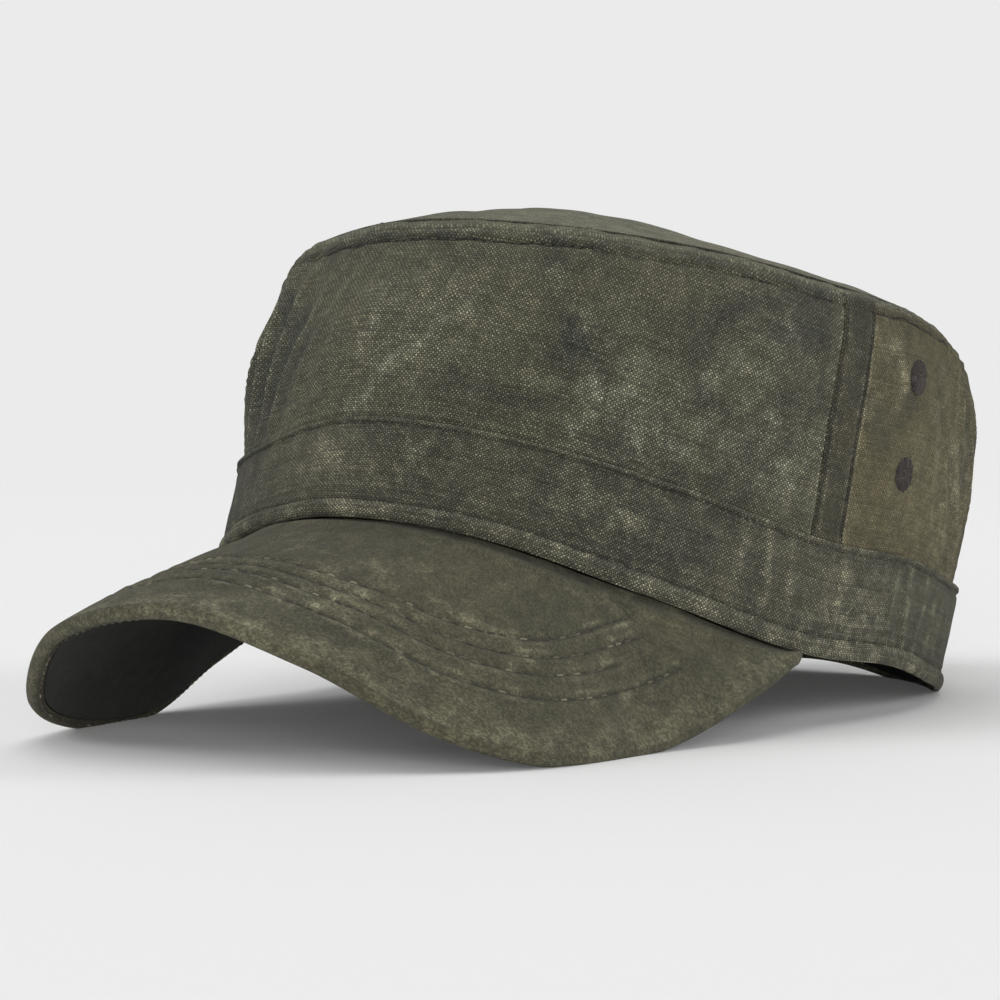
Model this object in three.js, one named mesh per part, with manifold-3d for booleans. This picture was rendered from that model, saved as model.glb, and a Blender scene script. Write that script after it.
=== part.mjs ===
// A cloth patrol cap: a crown of a front panel, a back panel and a domed top, a band sewn round it,
// a dark sweatband inside, a stiff arched peak with a rolled edge, and sewn eyelets at both sides.
// Millimetres, +Z up. The front of the cap looks along -Y, and the wearer's left is +X.
// The cap rests on the two lower corners of its peak and on the back of its rim, at Z = 0.
import * as THREE from "three";
import { mergeVertices } from "three/addons/utils/BufferGeometryUtils.js";
import Module from "manifold-3d";

const wasm = await Module();
wasm.setup();

// Head opening and crown, measured on the outside of the crown cloth
const RIM_LENGTH = 208;
const RIM_WIDTH = 161;
const RIM_LIFT = 52.4; // height of the rim above the table at the front
const CROWN_HEIGHT = 55; // top of the band to the lower stitch line of the top seam
const SEAM_INSET = 2.0; // the top seam's ridge, inwards from its lower stitch line
const SEAM_RISE = 2.7;
const TOP_STITCH_INSET = 4.4; // the top seam's upper stitch line, on the top panel
const TOP_STITCH_RISE = 4.9;
const PULL_AT_HALF = 0.4; // how much of the crown's pull shows halfway up it
const DOME_HEIGHT = 15; // how far the top panel swells above its own edge

// Band and sweatband
const BAND_HEIGHT = 28;
const HEM_HEIGHT = 4;
const HEM_PROUD = 0.8;
const FOLD_HEIGHT = 1.6;
const FOLD_PROUD = 0.4;
const CROWN_TUCK = 8; // crown cloth that is hidden behind the band
const SWEATBAND_HEIGHT = 26;
const SWEATBAND_RAISE = 1.2; // its lower edge, above the rim

// Cloth thicknesses and the clearance between two layers
const CROWN_CLOTH = 1.5;
const BAND_CLOTH = 1.1;
const SWEATBAND_CLOTH = 1.2;
const PEAK_TOP_CLOTH = 2.2;
const PEAK_UNDER_CLOTH = 1.3;
const GAP = 0.3;

// Side seams
const SIDE_SEAM_ANGLE = 76;
const SIDE_SEAM_WIDTH = 9;
const SIDE_SEAM_PROUD = 0.6;

// Peak
const PEAK_LENGTH = 58; // rim to outer edge at the middle, seen from above
const PEAK_ROOT_INSET = 1.0; // its inner edge, inwards from the crown cloth
const PEAK_SPAN = 76; // where it ends on the rim, in degrees from the front
const PEAK_END_SHARE = 0.965; // how much of that span the cut peak fills
const PEAK_ARCH = 1.6; // swell between its inner and outer edges
const ROLL_WIDTH = 3.2; // cloth turned round the outer edge
const ROLL_ROUND = 1.3;

// Eyelets, sewn rings in the back panel
const EYELET_RADIUS = 4.2;
const EYELET_HOLE_RADIUS = 0.8;
const EYELET_NECK_RADIUS = 1.5;
const EYELET_PROUD = 0.9;
const EYELET_BEVEL = 0.4;

// How fine the faces are
const AROUND_STEP = 6; // degrees between sections of the wall
const PEAK_SECTIONS = 32;
const EYELET_SIDES = 12;

// Heights round the cap: rim above the table, band above the rim, and crown above the band,
// as shares of the rim's lift, the band's height and the crown's height. Pull is how far the crown
// is drawn in under the top seam, as a share of the upper stitch line's inset.
const STATIONS = [
  { angle: -142, rim: -0.01, band: 0.96, crown: 0.985, pull: 0 },
  { angle: -115, rim: 0.105, band: 0.905, crown: 1.025, pull: 0 },
  { angle: -95, rim: 0.255, band: 0.89, crown: 1.0, pull: 0 },
  { angle: -75, rim: 0.425, band: 0.92, crown: 0.98, pull: 0 },
  { angle: -50, rim: 0.665, band: 0.87, crown: 0.865, pull: 0.1 },
  { angle: -25, rim: 0.886, band: 0.715, crown: 0.82, pull: 0 },
  { angle: 0, rim: 1.0, band: 0.78, crown: 0.745, pull: -0.25 },
  { angle: 25, rim: 0.914, band: 0.8, crown: 0.785, pull: 0 },
  { angle: 50, rim: 0.648, band: 0.885, crown: 0.893, pull: 0 },
  { angle: 75, rim: 0.358, band: 0.92, crown: 0.99, pull: -0.2 },
  { angle: 95, rim: 0.255, band: 0.89, crown: 0.99, pull: 0.05 },
  { angle: 115, rim: 0.105, band: 0.875, crown: 0.993, pull: 0.3 },
  { angle: 142, rim: -0.01, band: 0.933, crown: 0.976, pull: 0 },
  { angle: 180, rim: 0.078, band: 0.93, crown: 0.925, pull: 0 },
];

// Rings of the wall from the rim up: length and back as shares of the rim's length,
// width and side as shares of its width. The crown leans back and a little to the wearer's left.
const RINGS = [
  { length: 1.0, width: 1.0, back: 0.0, side: 0.0 },
  { length: 0.9976, width: 1.014, back: 0.03, side: 0.008 },
  { length: 0.986, width: 1.043, back: 0.048, side: 0.013 },
  { length: 0.9135, width: 1.013, back: 0.065, side: 0.028 },
];
const RIM = 0;
const BAND_TOP = 1;
const STITCH = 3;
const SEAM = 4;
const TOP_STITCH = 5;

// Soft folds and dents of the crown: middle, half width in degrees, half height in levels,
// slant in degrees for each level, and depth as a share of the crown's cloth, inwards negative.
const FOLDS = [
  { angle: -50, level: 2.2, wide: 7, tall: 1.0, slant: 4, depth: -1.2 },
  { angle: -34, level: 2.1, wide: 5, tall: 1.0, slant: 6, depth: 0.9 },
  { angle: -24, level: 2.0, wide: 6, tall: 0.9, slant: 8, depth: -0.9 },
  { angle: 2, level: 2.2, wide: 9, tall: 0.7, slant: 14, depth: 0.8 },
  { angle: 20, level: 1.9, wide: 10, tall: 0.8, slant: 10, depth: -0.7 },
  { angle: 60, level: 1.8, wide: 14, tall: 0.7, slant: 0, depth: -0.9 },
  { angle: 112, level: 2.2, wide: 6, tall: 0.9, slant: -5, depth: -0.9 },
  { angle: 128, level: 2.1, wide: 6, tall: 0.9, slant: -4, depth: 0.8 },
  { angle: 158, level: 2.0, wide: 10, tall: 0.9, slant: 0, depth: -1.2 },
  { angle: -150, level: 2.0, wide: 9, tall: 0.9, slant: 0, depth: -1.0 },
  { angle: -104, level: 2.1, wide: 9, tall: 0.9, slant: 3, depth: -0.9 },
];

// The peak's outer edge by plan angle: reach outwards from the rim as a share of the peak's length,
// and height above the table as a share of the rim's lift.
const PEAK_EDGE = [
  { angle: -56, reach: 0.149, height: 0.195 },
  { angle: -40, reach: 0.382, height: -0.013 },
  { angle: -30, reach: 0.697, height: 0.024 },
  { angle: -22, reach: 0.934, height: 0.172 },
  { angle: -12, reach: 1.063, height: 0.509 },
  { angle: 0, reach: 1.0, height: 0.635 },
  { angle: 12, reach: 1.003, height: 0.455 },
  { angle: 22, reach: 0.92, height: 0.165 },
  { angle: 30, reach: 0.753, height: 0.02 },
  { angle: 40, reach: 0.383, height: -0.01 },
  { angle: 56, reach: 0.148, height: 0.16 },
];

const EYELETS = [
  { name: "eyelet_left_upper", angle: 91, level: 2.49 },
  { name: "eyelet_left_lower", angle: 90.5, level: 1.7 },
  { name: "eyelet_right_upper", angle: -91, level: 2.49 },
  { name: "eyelet_right_lower", angle: -90.5, level: 1.7 },
];

const olive = new THREE.MeshStandardMaterial({ color: 0x55563f, roughness: 0.95, metalness: 0 });
const oliveBrown = new THREE.MeshStandardMaterial({ color: 0x5a5842, roughness: 0.95, metalness: 0 });
const slateOlive = new THREE.MeshStandardMaterial({ color: 0x4a4b43, roughness: 0.95, metalness: 0 });
const seamOlive = new THREE.MeshStandardMaterial({ color: 0x47483a, roughness: 0.95, metalness: 0 });
const black = new THREE.MeshStandardMaterial({ color: 0x17171a, roughness: 0.9, metalness: 0 });
const brownThread = new THREE.MeshStandardMaterial({ color: 0x3f3734, roughness: 0.8, metalness: 0 });

const radians = THREE.MathUtils.degToRad;
const degrees = THREE.MathUtils.radToDeg;

// Smooth value of a table's column at an angle, with the rows in rising order of angle.
function smooth(rows, column, angle) {
  const rise = (i) => (rows[i][column] - rows[i - 1][column]) / (rows[i].angle - rows[i - 1].angle);
  const slope = (i) => {
    if (i === 0) return rise(1);
    if (i === rows.length - 1) return rise(i);
    return (rise(i) + rise(i + 1)) / 2;
  };
  const at = THREE.MathUtils.clamp(angle, rows[0].angle, rows.at(-1).angle);
  const right = Math.max(1, rows.findIndex((row) => row.angle >= at));
  const [a, b] = [rows[right - 1], rows[right]];
  const span = b.angle - a.angle;
  const t = (at - a.angle) / span;
  return (
    a[column] * (1 - t) ** 2 * (1 + 2 * t) +
    slope(right - 1) * span * t * (1 - t) ** 2 +
    b[column] * t ** 2 * (3 - 2 * t) -
    slope(right) * span * t ** 2 * (1 - t)
  );
}

function halfTurned(angle) {
  return ((((angle + 180) % 360) + 360) % 360) - 180;
}

// The stations with the nearest rows of the turns before and after, so that the ring closes on itself.
function aroundStations() {
  const turned = (row, turn) => ({ ...row, angle: row.angle + turn });
  const before = STATIONS.slice(-3).map((row) => turned(row, -360));
  const after = STATIONS.slice(0, 3).map((row) => turned(row, 360));
  return [...before, ...STATIONS, ...after];
}

const AROUND_STATIONS = aroundStations();

// Point of one of the wall's rings, before folds.
function ringPoint(ring, angle) {
  const row = RINGS[Math.min(ring, STITCH)];
  const share = (column) => smooth(AROUND_STATIONS, column, halfTurned(angle));
  const band = BAND_HEIGHT * share("band");
  const crown = CROWN_HEIGHT * share("crown");
  const pull = TOP_STITCH_INSET * share("pull");
  const inset = [0, 0, PULL_AT_HALF * pull, pull, pull + SEAM_INSET, pull + TOP_STITCH_INSET][ring];
  const rise = [0, band, band + crown / 2, band + crown, band + crown + SEAM_RISE, band + crown + TOP_STITCH_RISE];
  return new THREE.Vector3(
    RIM_WIDTH * (row.side + (row.width / 2) * Math.sin(radians(angle))) - inset * Math.sin(radians(angle)),
    RIM_LENGTH * (row.back - (row.length / 2) * Math.cos(radians(angle))) + inset * Math.cos(radians(angle)),
    RIM_LIFT * share("rim") + rise[ring],
  );
}

// Point of the crown's outer face: level 0 at the rim, 1 at the band's top, 3 and 5 at the stitch lines
// on either side of the top seam.
function smoothWall(angle, level) {
  const points = Array.from({ length: TOP_STITCH + 1 }, (_, ring) => ringPoint(ring, angle));
  return new THREE.CatmullRomCurve3(points, false, "centripetal").getPoint(level / TOP_STITCH);
}

function outward(angle, level) {
  const step = 0.01;
  const low = Math.max(RIM, level - step);
  const high = Math.min(TOP_STITCH, level + step);
  const up = smoothWall(angle, high).sub(smoothWall(angle, low));
  const around = smoothWall(angle + 1, level).sub(smoothWall(angle - 1, level));
  return around.cross(up).normalize();
}

// How far the folds move the crown in or out. They fade out at the band's fold and at the top seam.
function foldDepth(angle, level) {
  const fade = THREE.MathUtils.smoothstep(level, BAND_TOP, BAND_TOP + 0.6);
  const shoulder = 1 - THREE.MathUtils.smoothstep(level, STITCH - 0.5, STITCH);
  const depth = FOLDS.reduce((sum, fold) => {
    const across = halfTurned(angle - fold.angle - fold.slant * (level - fold.level)) / fold.wide;
    const along = (level - fold.level) / fold.tall;
    return sum + fold.depth * Math.exp(-(across ** 2) - along ** 2);
  }, 0);
  return CROWN_CLOTH * depth * fade * shoulder;
}

// Point at a distance outwards from the crown's outer face, negative inside it.
function wallPoint(angle, level, out) {
  const shift = out + foldDepth(angle, level);
  const point = smoothWall(angle, level).addScaledVector(outward(angle, level), shift);
  point.z = Math.max(0, point.z);
  return point;
}

// Level that lies a distance along the wall above the rim.
function bandLevel(height) {
  return height / BAND_HEIGHT;
}

// A closed solid through sections of equal point counts. Each section is a loop that runs along the
// outer face and back along the inner face, so open ends close with a ladder between the two.
// The diagonals of both faces run the same way, so that layers on each other stay parallel.
function solidOf(sections, closed) {
  const size = sections[0].length;
  const positions = sections.flat().flatMap((point) => point.toArray());
  const index = [];
  const count = sections.length;
  for (let i = 0; i < (closed ? count : count - 1); i++) {
    for (let j = 0; j < size; j++) {
      const [a, b] = [i * size + j, i * size + ((j + 1) % size)];
      const next = ((i + 1) % count) * size;
      const [c, d] = [next + ((j + 1) % size), next + j];
      if (j < size / 2) index.push(a, d, c, a, c, b);
      else index.push(a, d, b, b, d, c);
    }
  }
  if (!closed) {
    const last = (count - 1) * size;
    for (let j = 0; j < size / 2 - 1; j++) {
      const [a, b, c, d] = [j, j + 1, size - 2 - j, size - 1 - j];
      index.push(a, b, c, a, c, d);
      index.push(last + a, last + c, last + b, last + a, last + d, last + c);
    }
  }
  const raw = new THREE.BufferGeometry();
  raw.setAttribute("position", new THREE.Float32BufferAttribute(positions, 3));
  raw.setIndex(index);
  return tidy(raw);
}

// Shared vertices merged, and the faces that shrank to nothing dropped.
function tidy(geometry) {
  const merged = mergeVertices(geometry, 1e-3);
  const kept = [];
  const all = merged.index.array;
  for (let i = 0; i < all.length; i += 3) {
    const [a, b, c] = [all[i], all[i + 1], all[i + 2]];
    if (a !== b && b !== c && c !== a) kept.push(a, b, c);
  }
  merged.setIndex(kept);
  merged.computeVertexNormals();
  return merged;
}

// A layer of the wall from rows of level, outer face and inner face.
function wallSection(angle, rows) {
  const outer = rows.map((row) => wallPoint(angle, row.level, row.outer));
  const inner = rows.map((row) => wallPoint(angle, row.level, row.inner));
  return [...outer, ...inner.reverse()];
}

// The wall's own section angles between two ends, so that the faces of two layers lie parallel.
function anglesBetween(from, to) {
  const first = Math.ceil(from / AROUND_STEP + 0.2);
  const last = Math.floor(to / AROUND_STEP - 0.2);
  const between = Array.from({ length: Math.max(0, last - first + 1) }, (_, i) => (first + i) * AROUND_STEP);
  return [from, ...between, to];
}

function ringOf(rows) {
  const count = 360 / AROUND_STEP;
  const angles = Array.from({ length: count }, (_, i) => i * AROUND_STEP);
  return solidOf(angles.map((angle) => wallSection(angle, rows)), true);
}

// The band: a rolled hem at the rim, a flat run, and a folded top edge that stands proud.
function bandGeometry() {
  const flat = GAP + BAND_CLOTH;
  const ease = 0.6;
  const outline = [
    { up: 0, out: flat + HEM_PROUD / 2 },
    { up: ease, out: flat + HEM_PROUD },
    { up: HEM_HEIGHT - ease, out: flat + HEM_PROUD },
    { up: HEM_HEIGHT, out: flat },
    { up: (BAND_HEIGHT + HEM_HEIGHT - FOLD_HEIGHT) / 2, out: flat },
    { up: BAND_HEIGHT - FOLD_HEIGHT - ease, out: flat },
    { up: BAND_HEIGHT - FOLD_HEIGHT, out: flat + FOLD_PROUD },
    { up: BAND_HEIGHT, out: flat + FOLD_PROUD / 2 },
  ];
  return ringOf(outline.map((row) => ({ level: bandLevel(row.up), outer: row.out, inner: GAP })));
}

function sweatbandGeometry() {
  const outer = -CROWN_CLOTH - GAP;
  const inner = outer - SWEATBAND_CLOTH;
  const rises = [0, 0.35, 0.7, 1].map((share) => SWEATBAND_RAISE + share * SWEATBAND_HEIGHT);
  return ringOf(rises.map((up) => ({ level: bandLevel(up), outer, inner })));
}

// Rows of the crown cloth, from its hidden edge behind the band to the ridge of the top seam.
function crownRows(proud) {
  const levels = [bandLevel(BAND_HEIGHT - CROWN_TUCK), bandLevel(BAND_HEIGHT - CROWN_TUCK / 2), BAND_TOP, 1.5, 2, 2.5, 2.8, STITCH, SEAM - 0.1];
  const shown = (level) => (level > BAND_TOP ? proud : 0);
  return levels.map((level) => ({ level, outer: shown(level), inner: -CROWN_CLOTH }));
}

// Half the angle that a width along the wall takes up beside a side seam.
function halfAngle(width) {
  return degrees(width / (RIM_WIDTH * RINGS[BAND_TOP].width));
}

function crownStrip(from, to, proud) {
  return solidOf(anglesBetween(from, to).map((angle) => wallSection(angle, crownRows(proud))), false);
}

// The top panel: from the ridge of the seam over the upper stitch line to the middle of the dome.
function topGeometry() {
  const middle = new THREE.Vector3();
  const corners = [0, 90, 180, 270].map((angle) => smoothWall(angle, TOP_STITCH));
  corners.forEach((corner) => middle.addScaledVector(corner, 1 / corners.length));
  const edgeLevels = [SEAM + 0.1, (SEAM + TOP_STITCH) / 2, TOP_STITCH];
  const domeShares = [0.8, 0.5, 0];
  const sectionAt = (angle) => {
    const rim = smoothWall(angle, TOP_STITCH);
    const dome = domeShares.map((share) => {
      const point = middle.clone().lerp(rim, share);
      point.z += DOME_HEIGHT * (1 - share ** 2);
      return point;
    });
    const edge = edgeLevels.map((level) => wallPoint(angle, level, 0));
    const under = edgeLevels.map((level) => wallPoint(angle, level, -CROWN_CLOTH));
    const domeUnder = dome.map((point) => point.clone().setZ(point.z - CROWN_CLOTH));
    return [...edge, ...dome, ...domeUnder.reverse(), ...under.reverse()];
  };
  const count = 360 / AROUND_STEP;
  return solidOf(Array.from({ length: count }, (_, i) => sectionAt(i * AROUND_STEP)), true);
}

// Plan angle of a point round the origin, 0 at the front.
function planAngle(point) {
  return degrees(Math.atan2(point.x, -point.y));
}

// The peak's upper face at its inner edge, just under the band's hem.
function peakRoot(share) {
  const angle = share * PEAK_SPAN;
  const inwards = smoothWall(angle, RIM).addScaledVector(outward(angle, RIM), -PEAK_ROOT_INSET);
  return inwards.setZ(inwards.z - GAP - PEAK_ROOT_INSET / 2);
}

// The middle of the rolled outer edge.
function peakEdge(share) {
  const [right, left] = [-PEAK_SPAN, PEAK_SPAN].map((turn) => smoothWall(turn, RIM));
  const onRim = (point) => ({ angle: planAngle(point), reach: 0, height: point.z / RIM_LIFT });
  const rows = [onRim(right), ...PEAK_EDGE, onRim(left)];
  const angle = share < 0 ? -share * rows[0].angle : share * rows.at(-1).angle;
  const hem = { length: RIM_LENGTH / 2 + GAP + BAND_CLOTH, width: RIM_WIDTH / 2 + GAP + BAND_CLOTH };
  const across = Math.hypot(hem.width * Math.cos(radians(angle)), hem.length * Math.sin(radians(angle)));
  const radius = (hem.length * hem.width) / across + PEAK_LENGTH * smooth(rows, "reach", angle);
  return new THREE.Vector3(
    radius * Math.sin(radians(angle)),
    -radius * Math.cos(radians(angle)),
    RIM_LIFT * smooth(rows, "height", angle),
  );
}

// One section of the peak: a frame with its inner edge, its outer edge and the way up.
function peakFrame(share) {
  const step = 0.01;
  const tangent = peakRoot(share + step).sub(peakRoot(share - step));
  tangent.add(peakEdge(share + step).sub(peakEdge(share - step)));
  const root = peakRoot(share);
  const edge = peakEdge(share);
  const up = edge.clone().sub(root).cross(tangent).normalize();
  if (up.z < 0) up.negate();
  edge.addScaledVector(up, (PEAK_TOP_CLOTH + GAP + PEAK_UNDER_CLOTH) / 2);
  return { root, edge, up, length: root.distanceTo(edge) };
}

// Point of the peak a distance back from the outer edge, and a depth under the upper face.
function peakPoint(frame, back, depth) {
  const share = 1 - back / frame.length;
  const swell = PEAK_ARCH * 4 * share * (1 - share) * Math.min(1, frame.length / PEAK_LENGTH);
  const point = frame.root.clone().lerp(frame.edge, share).addScaledVector(frame.up, swell - depth);
  point.z = Math.max(0, point.z);
  return point;
}

function peakShares() {
  return Array.from({ length: PEAK_SECTIONS + 1 }, (_, i) => PEAK_END_SHARE * (1 - (2 * i) / PEAK_SECTIONS));
}

// Distances back from the outer edge at which both cloths have their rows.
function peakRun(frame, lip) {
  return [1, 0.75, 0.5, 0.25].map((part) => lip + (frame.length - lip) * part);
}

// The upper cloth, whose outer edge rolls round and under.
function peakTopGeometry() {
  const whole = PEAK_TOP_CLOTH + GAP + PEAK_UNDER_CLOTH;
  const sectionAt = (share) => {
    const frame = peakFrame(share);
    const lip = Math.min(ROLL_WIDTH, frame.length / 2);
    const run = peakRun(frame, lip);
    const upper = [...run, lip, ROLL_ROUND].map((back) => peakPoint(frame, back, 0));
    const nose = [whole / 3, (2 * whole) / 3].map((depth) => peakPoint(frame, 0, depth));
    const turned = [peakPoint(frame, ROLL_ROUND, whole), peakPoint(frame, lip, whole)];
    const lower = [lip, ...run.slice().reverse()].map((back) => peakPoint(frame, back, PEAK_TOP_CLOTH));
    return [...upper, ...nose, ...turned, ...lower];
  };
  return solidOf(peakShares().map(sectionAt), false);
}

// The under cloth, which fills the space behind the rolled edge.
function peakUnderGeometry() {
  const top = PEAK_TOP_CLOTH + GAP;
  const bottom = top + PEAK_UNDER_CLOTH;
  const sectionAt = (share) => {
    const frame = peakFrame(share);
    const lip = Math.min(ROLL_WIDTH, frame.length / 2);
    const run = [...peakRun(frame, lip), lip + GAP];
    const upper = run.map((back) => peakPoint(frame, back, top));
    const lower = run.map((back) => peakPoint(frame, back, bottom));
    return [...upper, ...lower.reverse()];
  };
  return solidOf(peakShares().map(sectionAt), false);
}

// Turns and places a shape made along +Y so that it stands out of the wall.
function standOnWall(geometry, angle, level) {
  const turn = new THREE.Quaternion().setFromUnitVectors(new THREE.Vector3(0, 1, 0), outward(angle, level));
  return geometry.applyQuaternion(turn).translate(...wallPoint(angle, level, 0).toArray());
}

// An eyelet: a ring of thread on the cloth with a neck through it.
function eyeletGeometry(angle, level) {
  const outline = [
    [EYELET_HOLE_RADIUS, EYELET_PROUD],
    [EYELET_RADIUS - EYELET_BEVEL, EYELET_PROUD],
    [EYELET_RADIUS, EYELET_PROUD - EYELET_BEVEL],
    [EYELET_RADIUS, GAP],
    [EYELET_NECK_RADIUS, GAP],
    [EYELET_NECK_RADIUS, -CROWN_CLOTH],
    [EYELET_HOLE_RADIUS, -CROWN_CLOTH],
    [EYELET_HOLE_RADIUS, EYELET_PROUD],
  ];
  const points = outline.map(([radius, height]) => new THREE.Vector2(radius, height)).reverse();
  return standOnWall(new THREE.LatheGeometry(points, EYELET_SIDES), angle, level);
}

// The hole that an eyelet's neck passes through.
function eyeletHole(angle, level) {
  const radius = EYELET_NECK_RADIUS + GAP;
  const cutter = new THREE.CylinderGeometry(radius, radius, CROWN_CLOTH * 4, EYELET_SIDES);
  return standOnWall(cutter, angle, level);
}

function manifoldOf(geometry) {
  const bare = geometry.clone().deleteAttribute("normal").deleteAttribute("uv");
  const merged = tidy(bare);
  return new wasm.Manifold(
    new wasm.Mesh({
      numProp: 3,
      vertProperties: merged.attributes.position.array,
      triVerts: new Uint32Array(merged.index.array),
    }),
  );
}

function geometryOf(solid) {
  const mesh = solid.getMesh();
  const geometry = new THREE.BufferGeometry();
  geometry.setAttribute("position", new THREE.BufferAttribute(mesh.vertProperties, 3));
  geometry.setIndex(new THREE.BufferAttribute(mesh.triVerts, 1));
  geometry.computeVertexNormals();
  return geometry;
}

// The back panel with the eyelets' holes cut through it.
function backPanelGeometry(from, to) {
  let panel = manifoldOf(crownStrip(from, to, 0));
  for (const row of EYELETS) panel = panel.subtract(manifoldOf(eyeletHole(row.angle, row.level)));
  return geometryOf(panel);
}

const cap = new THREE.Group();
cap.name = "patrol_cap";

function add(name, geometry, material) {
  const mesh = new THREE.Mesh(geometry, material);
  mesh.name = name;
  cap.add(mesh);
}

const seamHalf = halfAngle(SIDE_SEAM_WIDTH);
const panelEdge = halfAngle(SIDE_SEAM_WIDTH + 2 * GAP);
add("front_panel", crownStrip(-SIDE_SEAM_ANGLE + panelEdge, SIDE_SEAM_ANGLE - panelEdge, 0), olive);
add("back_panel", backPanelGeometry(SIDE_SEAM_ANGLE + panelEdge, 360 - SIDE_SEAM_ANGLE - panelEdge), oliveBrown);
add("side_seam_left", crownStrip(SIDE_SEAM_ANGLE - seamHalf, SIDE_SEAM_ANGLE + seamHalf, SIDE_SEAM_PROUD), seamOlive);
add("side_seam_right", crownStrip(-SIDE_SEAM_ANGLE - seamHalf, -SIDE_SEAM_ANGLE + seamHalf, SIDE_SEAM_PROUD), seamOlive);
add("top_panel", topGeometry(), olive);
add("hatband", bandGeometry(), slateOlive);
add("sweatband", sweatbandGeometry(), black);
add("peak_top", peakTopGeometry(), olive);
add("peak_under", peakUnderGeometry(), black);
for (const row of EYELETS) add(row.name, eyeletGeometry(row.angle, row.level), brownThread);

// The origin lies under the middle of the whole cap, on the table.
const box = new THREE.Box3().setFromObject(cap);
const centre = box.getCenter(new THREE.Vector3());
cap.position.set(-centre.x, -centre.y, -box.min.z);

export default cap;
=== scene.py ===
"""Dresses a cloth patrol cap: washed canvas, folded seams, sewn rows, creases, eyelets and a soft studio.

Lengths are in millimetres and angles in degrees until a mesh is made, where they become metres.
The front of the cap looks along -Y, the wearer's left is +X, and angle 0 on the wall is the front.
"""

import logging
import math
from dataclasses import dataclass, field, replace
from enum import Enum
from typing import Iterable, Sequence

import bpy
import numpy as np
from mathutils import Matrix, Vector, noise

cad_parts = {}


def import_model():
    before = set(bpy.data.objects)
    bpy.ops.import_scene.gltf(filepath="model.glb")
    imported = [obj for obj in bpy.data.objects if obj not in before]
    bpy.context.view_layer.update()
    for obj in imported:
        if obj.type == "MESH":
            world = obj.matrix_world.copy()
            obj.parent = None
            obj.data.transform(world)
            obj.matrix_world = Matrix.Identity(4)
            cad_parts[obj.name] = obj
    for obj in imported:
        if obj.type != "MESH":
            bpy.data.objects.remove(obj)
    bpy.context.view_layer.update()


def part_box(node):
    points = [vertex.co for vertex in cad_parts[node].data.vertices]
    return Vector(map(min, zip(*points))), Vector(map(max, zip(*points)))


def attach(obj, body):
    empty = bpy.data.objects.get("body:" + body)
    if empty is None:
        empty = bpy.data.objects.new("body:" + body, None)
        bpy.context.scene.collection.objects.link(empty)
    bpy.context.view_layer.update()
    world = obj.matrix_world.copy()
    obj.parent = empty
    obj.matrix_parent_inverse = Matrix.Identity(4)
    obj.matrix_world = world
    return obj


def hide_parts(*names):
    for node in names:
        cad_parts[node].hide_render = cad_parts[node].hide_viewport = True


log = logging.getLogger("patrol_cap")

MM = 0.001
BODY = "root"

Array = np.ndarray
Colour = tuple[float, float, float]


class Slot(Enum):
    """The record's material slots that the pieces' finishes belong to."""

    CROWN = "crown_canvas"
    CROWN_BACK = "crown_canvas_back"
    BAND = "band_canvas"
    PEAK = "peak_canvas"
    PEAK_UNDER = "peak_under_cloth"
    TAPE = "dark_lining_tape"
    THREAD = "eyelet_thread"


class Weave(Enum):
    """How a cloth is woven."""

    PLAIN = "plain weave"
    TWILL = "twill weave"


@dataclass(frozen=True)
class Station:
    """Heights at an angle from the front, as shares of the rim's lift, the band's and the crown's height.

    Pull is how far the crown is drawn in under the top seam, in insets of its upper stitch line.
    """

    angle: float
    rim: float
    band: float
    crown: float
    pull: float = 0.0


@dataclass(frozen=True)
class Ring:
    """A ring of the wall: length and back as shares of the rim's length, width and side of its width."""

    length: float
    width: float
    back: float
    side: float


@dataclass(frozen=True)
class Fold:
    """A soft fold of the crown: its middle, half sizes, slant for each level, and depth in crown cloths."""

    angle: float
    level: float
    wide: float
    tall: float
    slant: float
    depth: float


@dataclass(frozen=True)
class EdgeRow:
    """The peak's outer edge at a plan angle: reach in peak lengths, and height in rim lifts."""

    angle: float
    reach: float
    height: float


@dataclass(frozen=True)
class Crease:
    """A narrow crease that was rubbed light: two ends, half width and height in mm, and rub from 0 to 1."""

    start: tuple[float, float]
    end: tuple[float, float]
    width: float
    height: float
    rub: float
    bow: float = 0.0


@dataclass(frozen=True)
class Patch:
    """A soft patch of colour: middle, half width in degrees or shares, half height, and strength."""

    angle: float
    level: float
    wide: float
    tall: float
    strength: float


@dataclass(frozen=True)
class Ripples:
    """Ripples side by side: middle, half sizes, pitch in degrees, height in mm, rub, which on the crown also sets
    painted shade in the troughs, and slant for each level.
    """

    angle: float
    level: float
    wide: float
    tall: float
    pitch: float
    height: float
    rub: float
    slant: float = 0.0


@dataclass(frozen=True)
class PeakRow:
    """A sewn row over the peak: its half reach, and its distance back in mm at the middle, halfway and the end."""

    reach: float
    middle: float
    half: float
    end: float

    def back(self, share: Array) -> Array:
        """Distance back from the outer edge at a place along the peak."""
        along = np.clip(np.abs(share) / self.reach, 0.0, 1.0)
        bend = 4 * self.half - 3 * self.middle - self.end
        return self.middle + bend * along + (self.end - self.middle - bend) * along**2


STATIONS = (
    Station(-142, -0.01, 0.96, 0.985),
    Station(-115, 0.105, 0.905, 1.025),
    Station(-95, 0.255, 0.89, 1.0),
    Station(-75, 0.425, 0.92, 0.98),
    Station(-50, 0.665, 0.87, 0.865, 0.1),
    Station(-25, 0.886, 0.715, 0.82),
    Station(0, 1.0, 0.78, 0.745, -0.25),
    Station(25, 0.914, 0.8, 0.785),
    Station(50, 0.648, 0.885, 0.893),
    Station(75, 0.358, 0.92, 0.99, -0.2),
    Station(95, 0.255, 0.89, 0.99, 0.05),
    Station(115, 0.105, 0.875, 0.993, 0.3),
    Station(142, -0.01, 0.933, 0.976),
    Station(180, 0.078, 0.93, 0.925),
)

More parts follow.
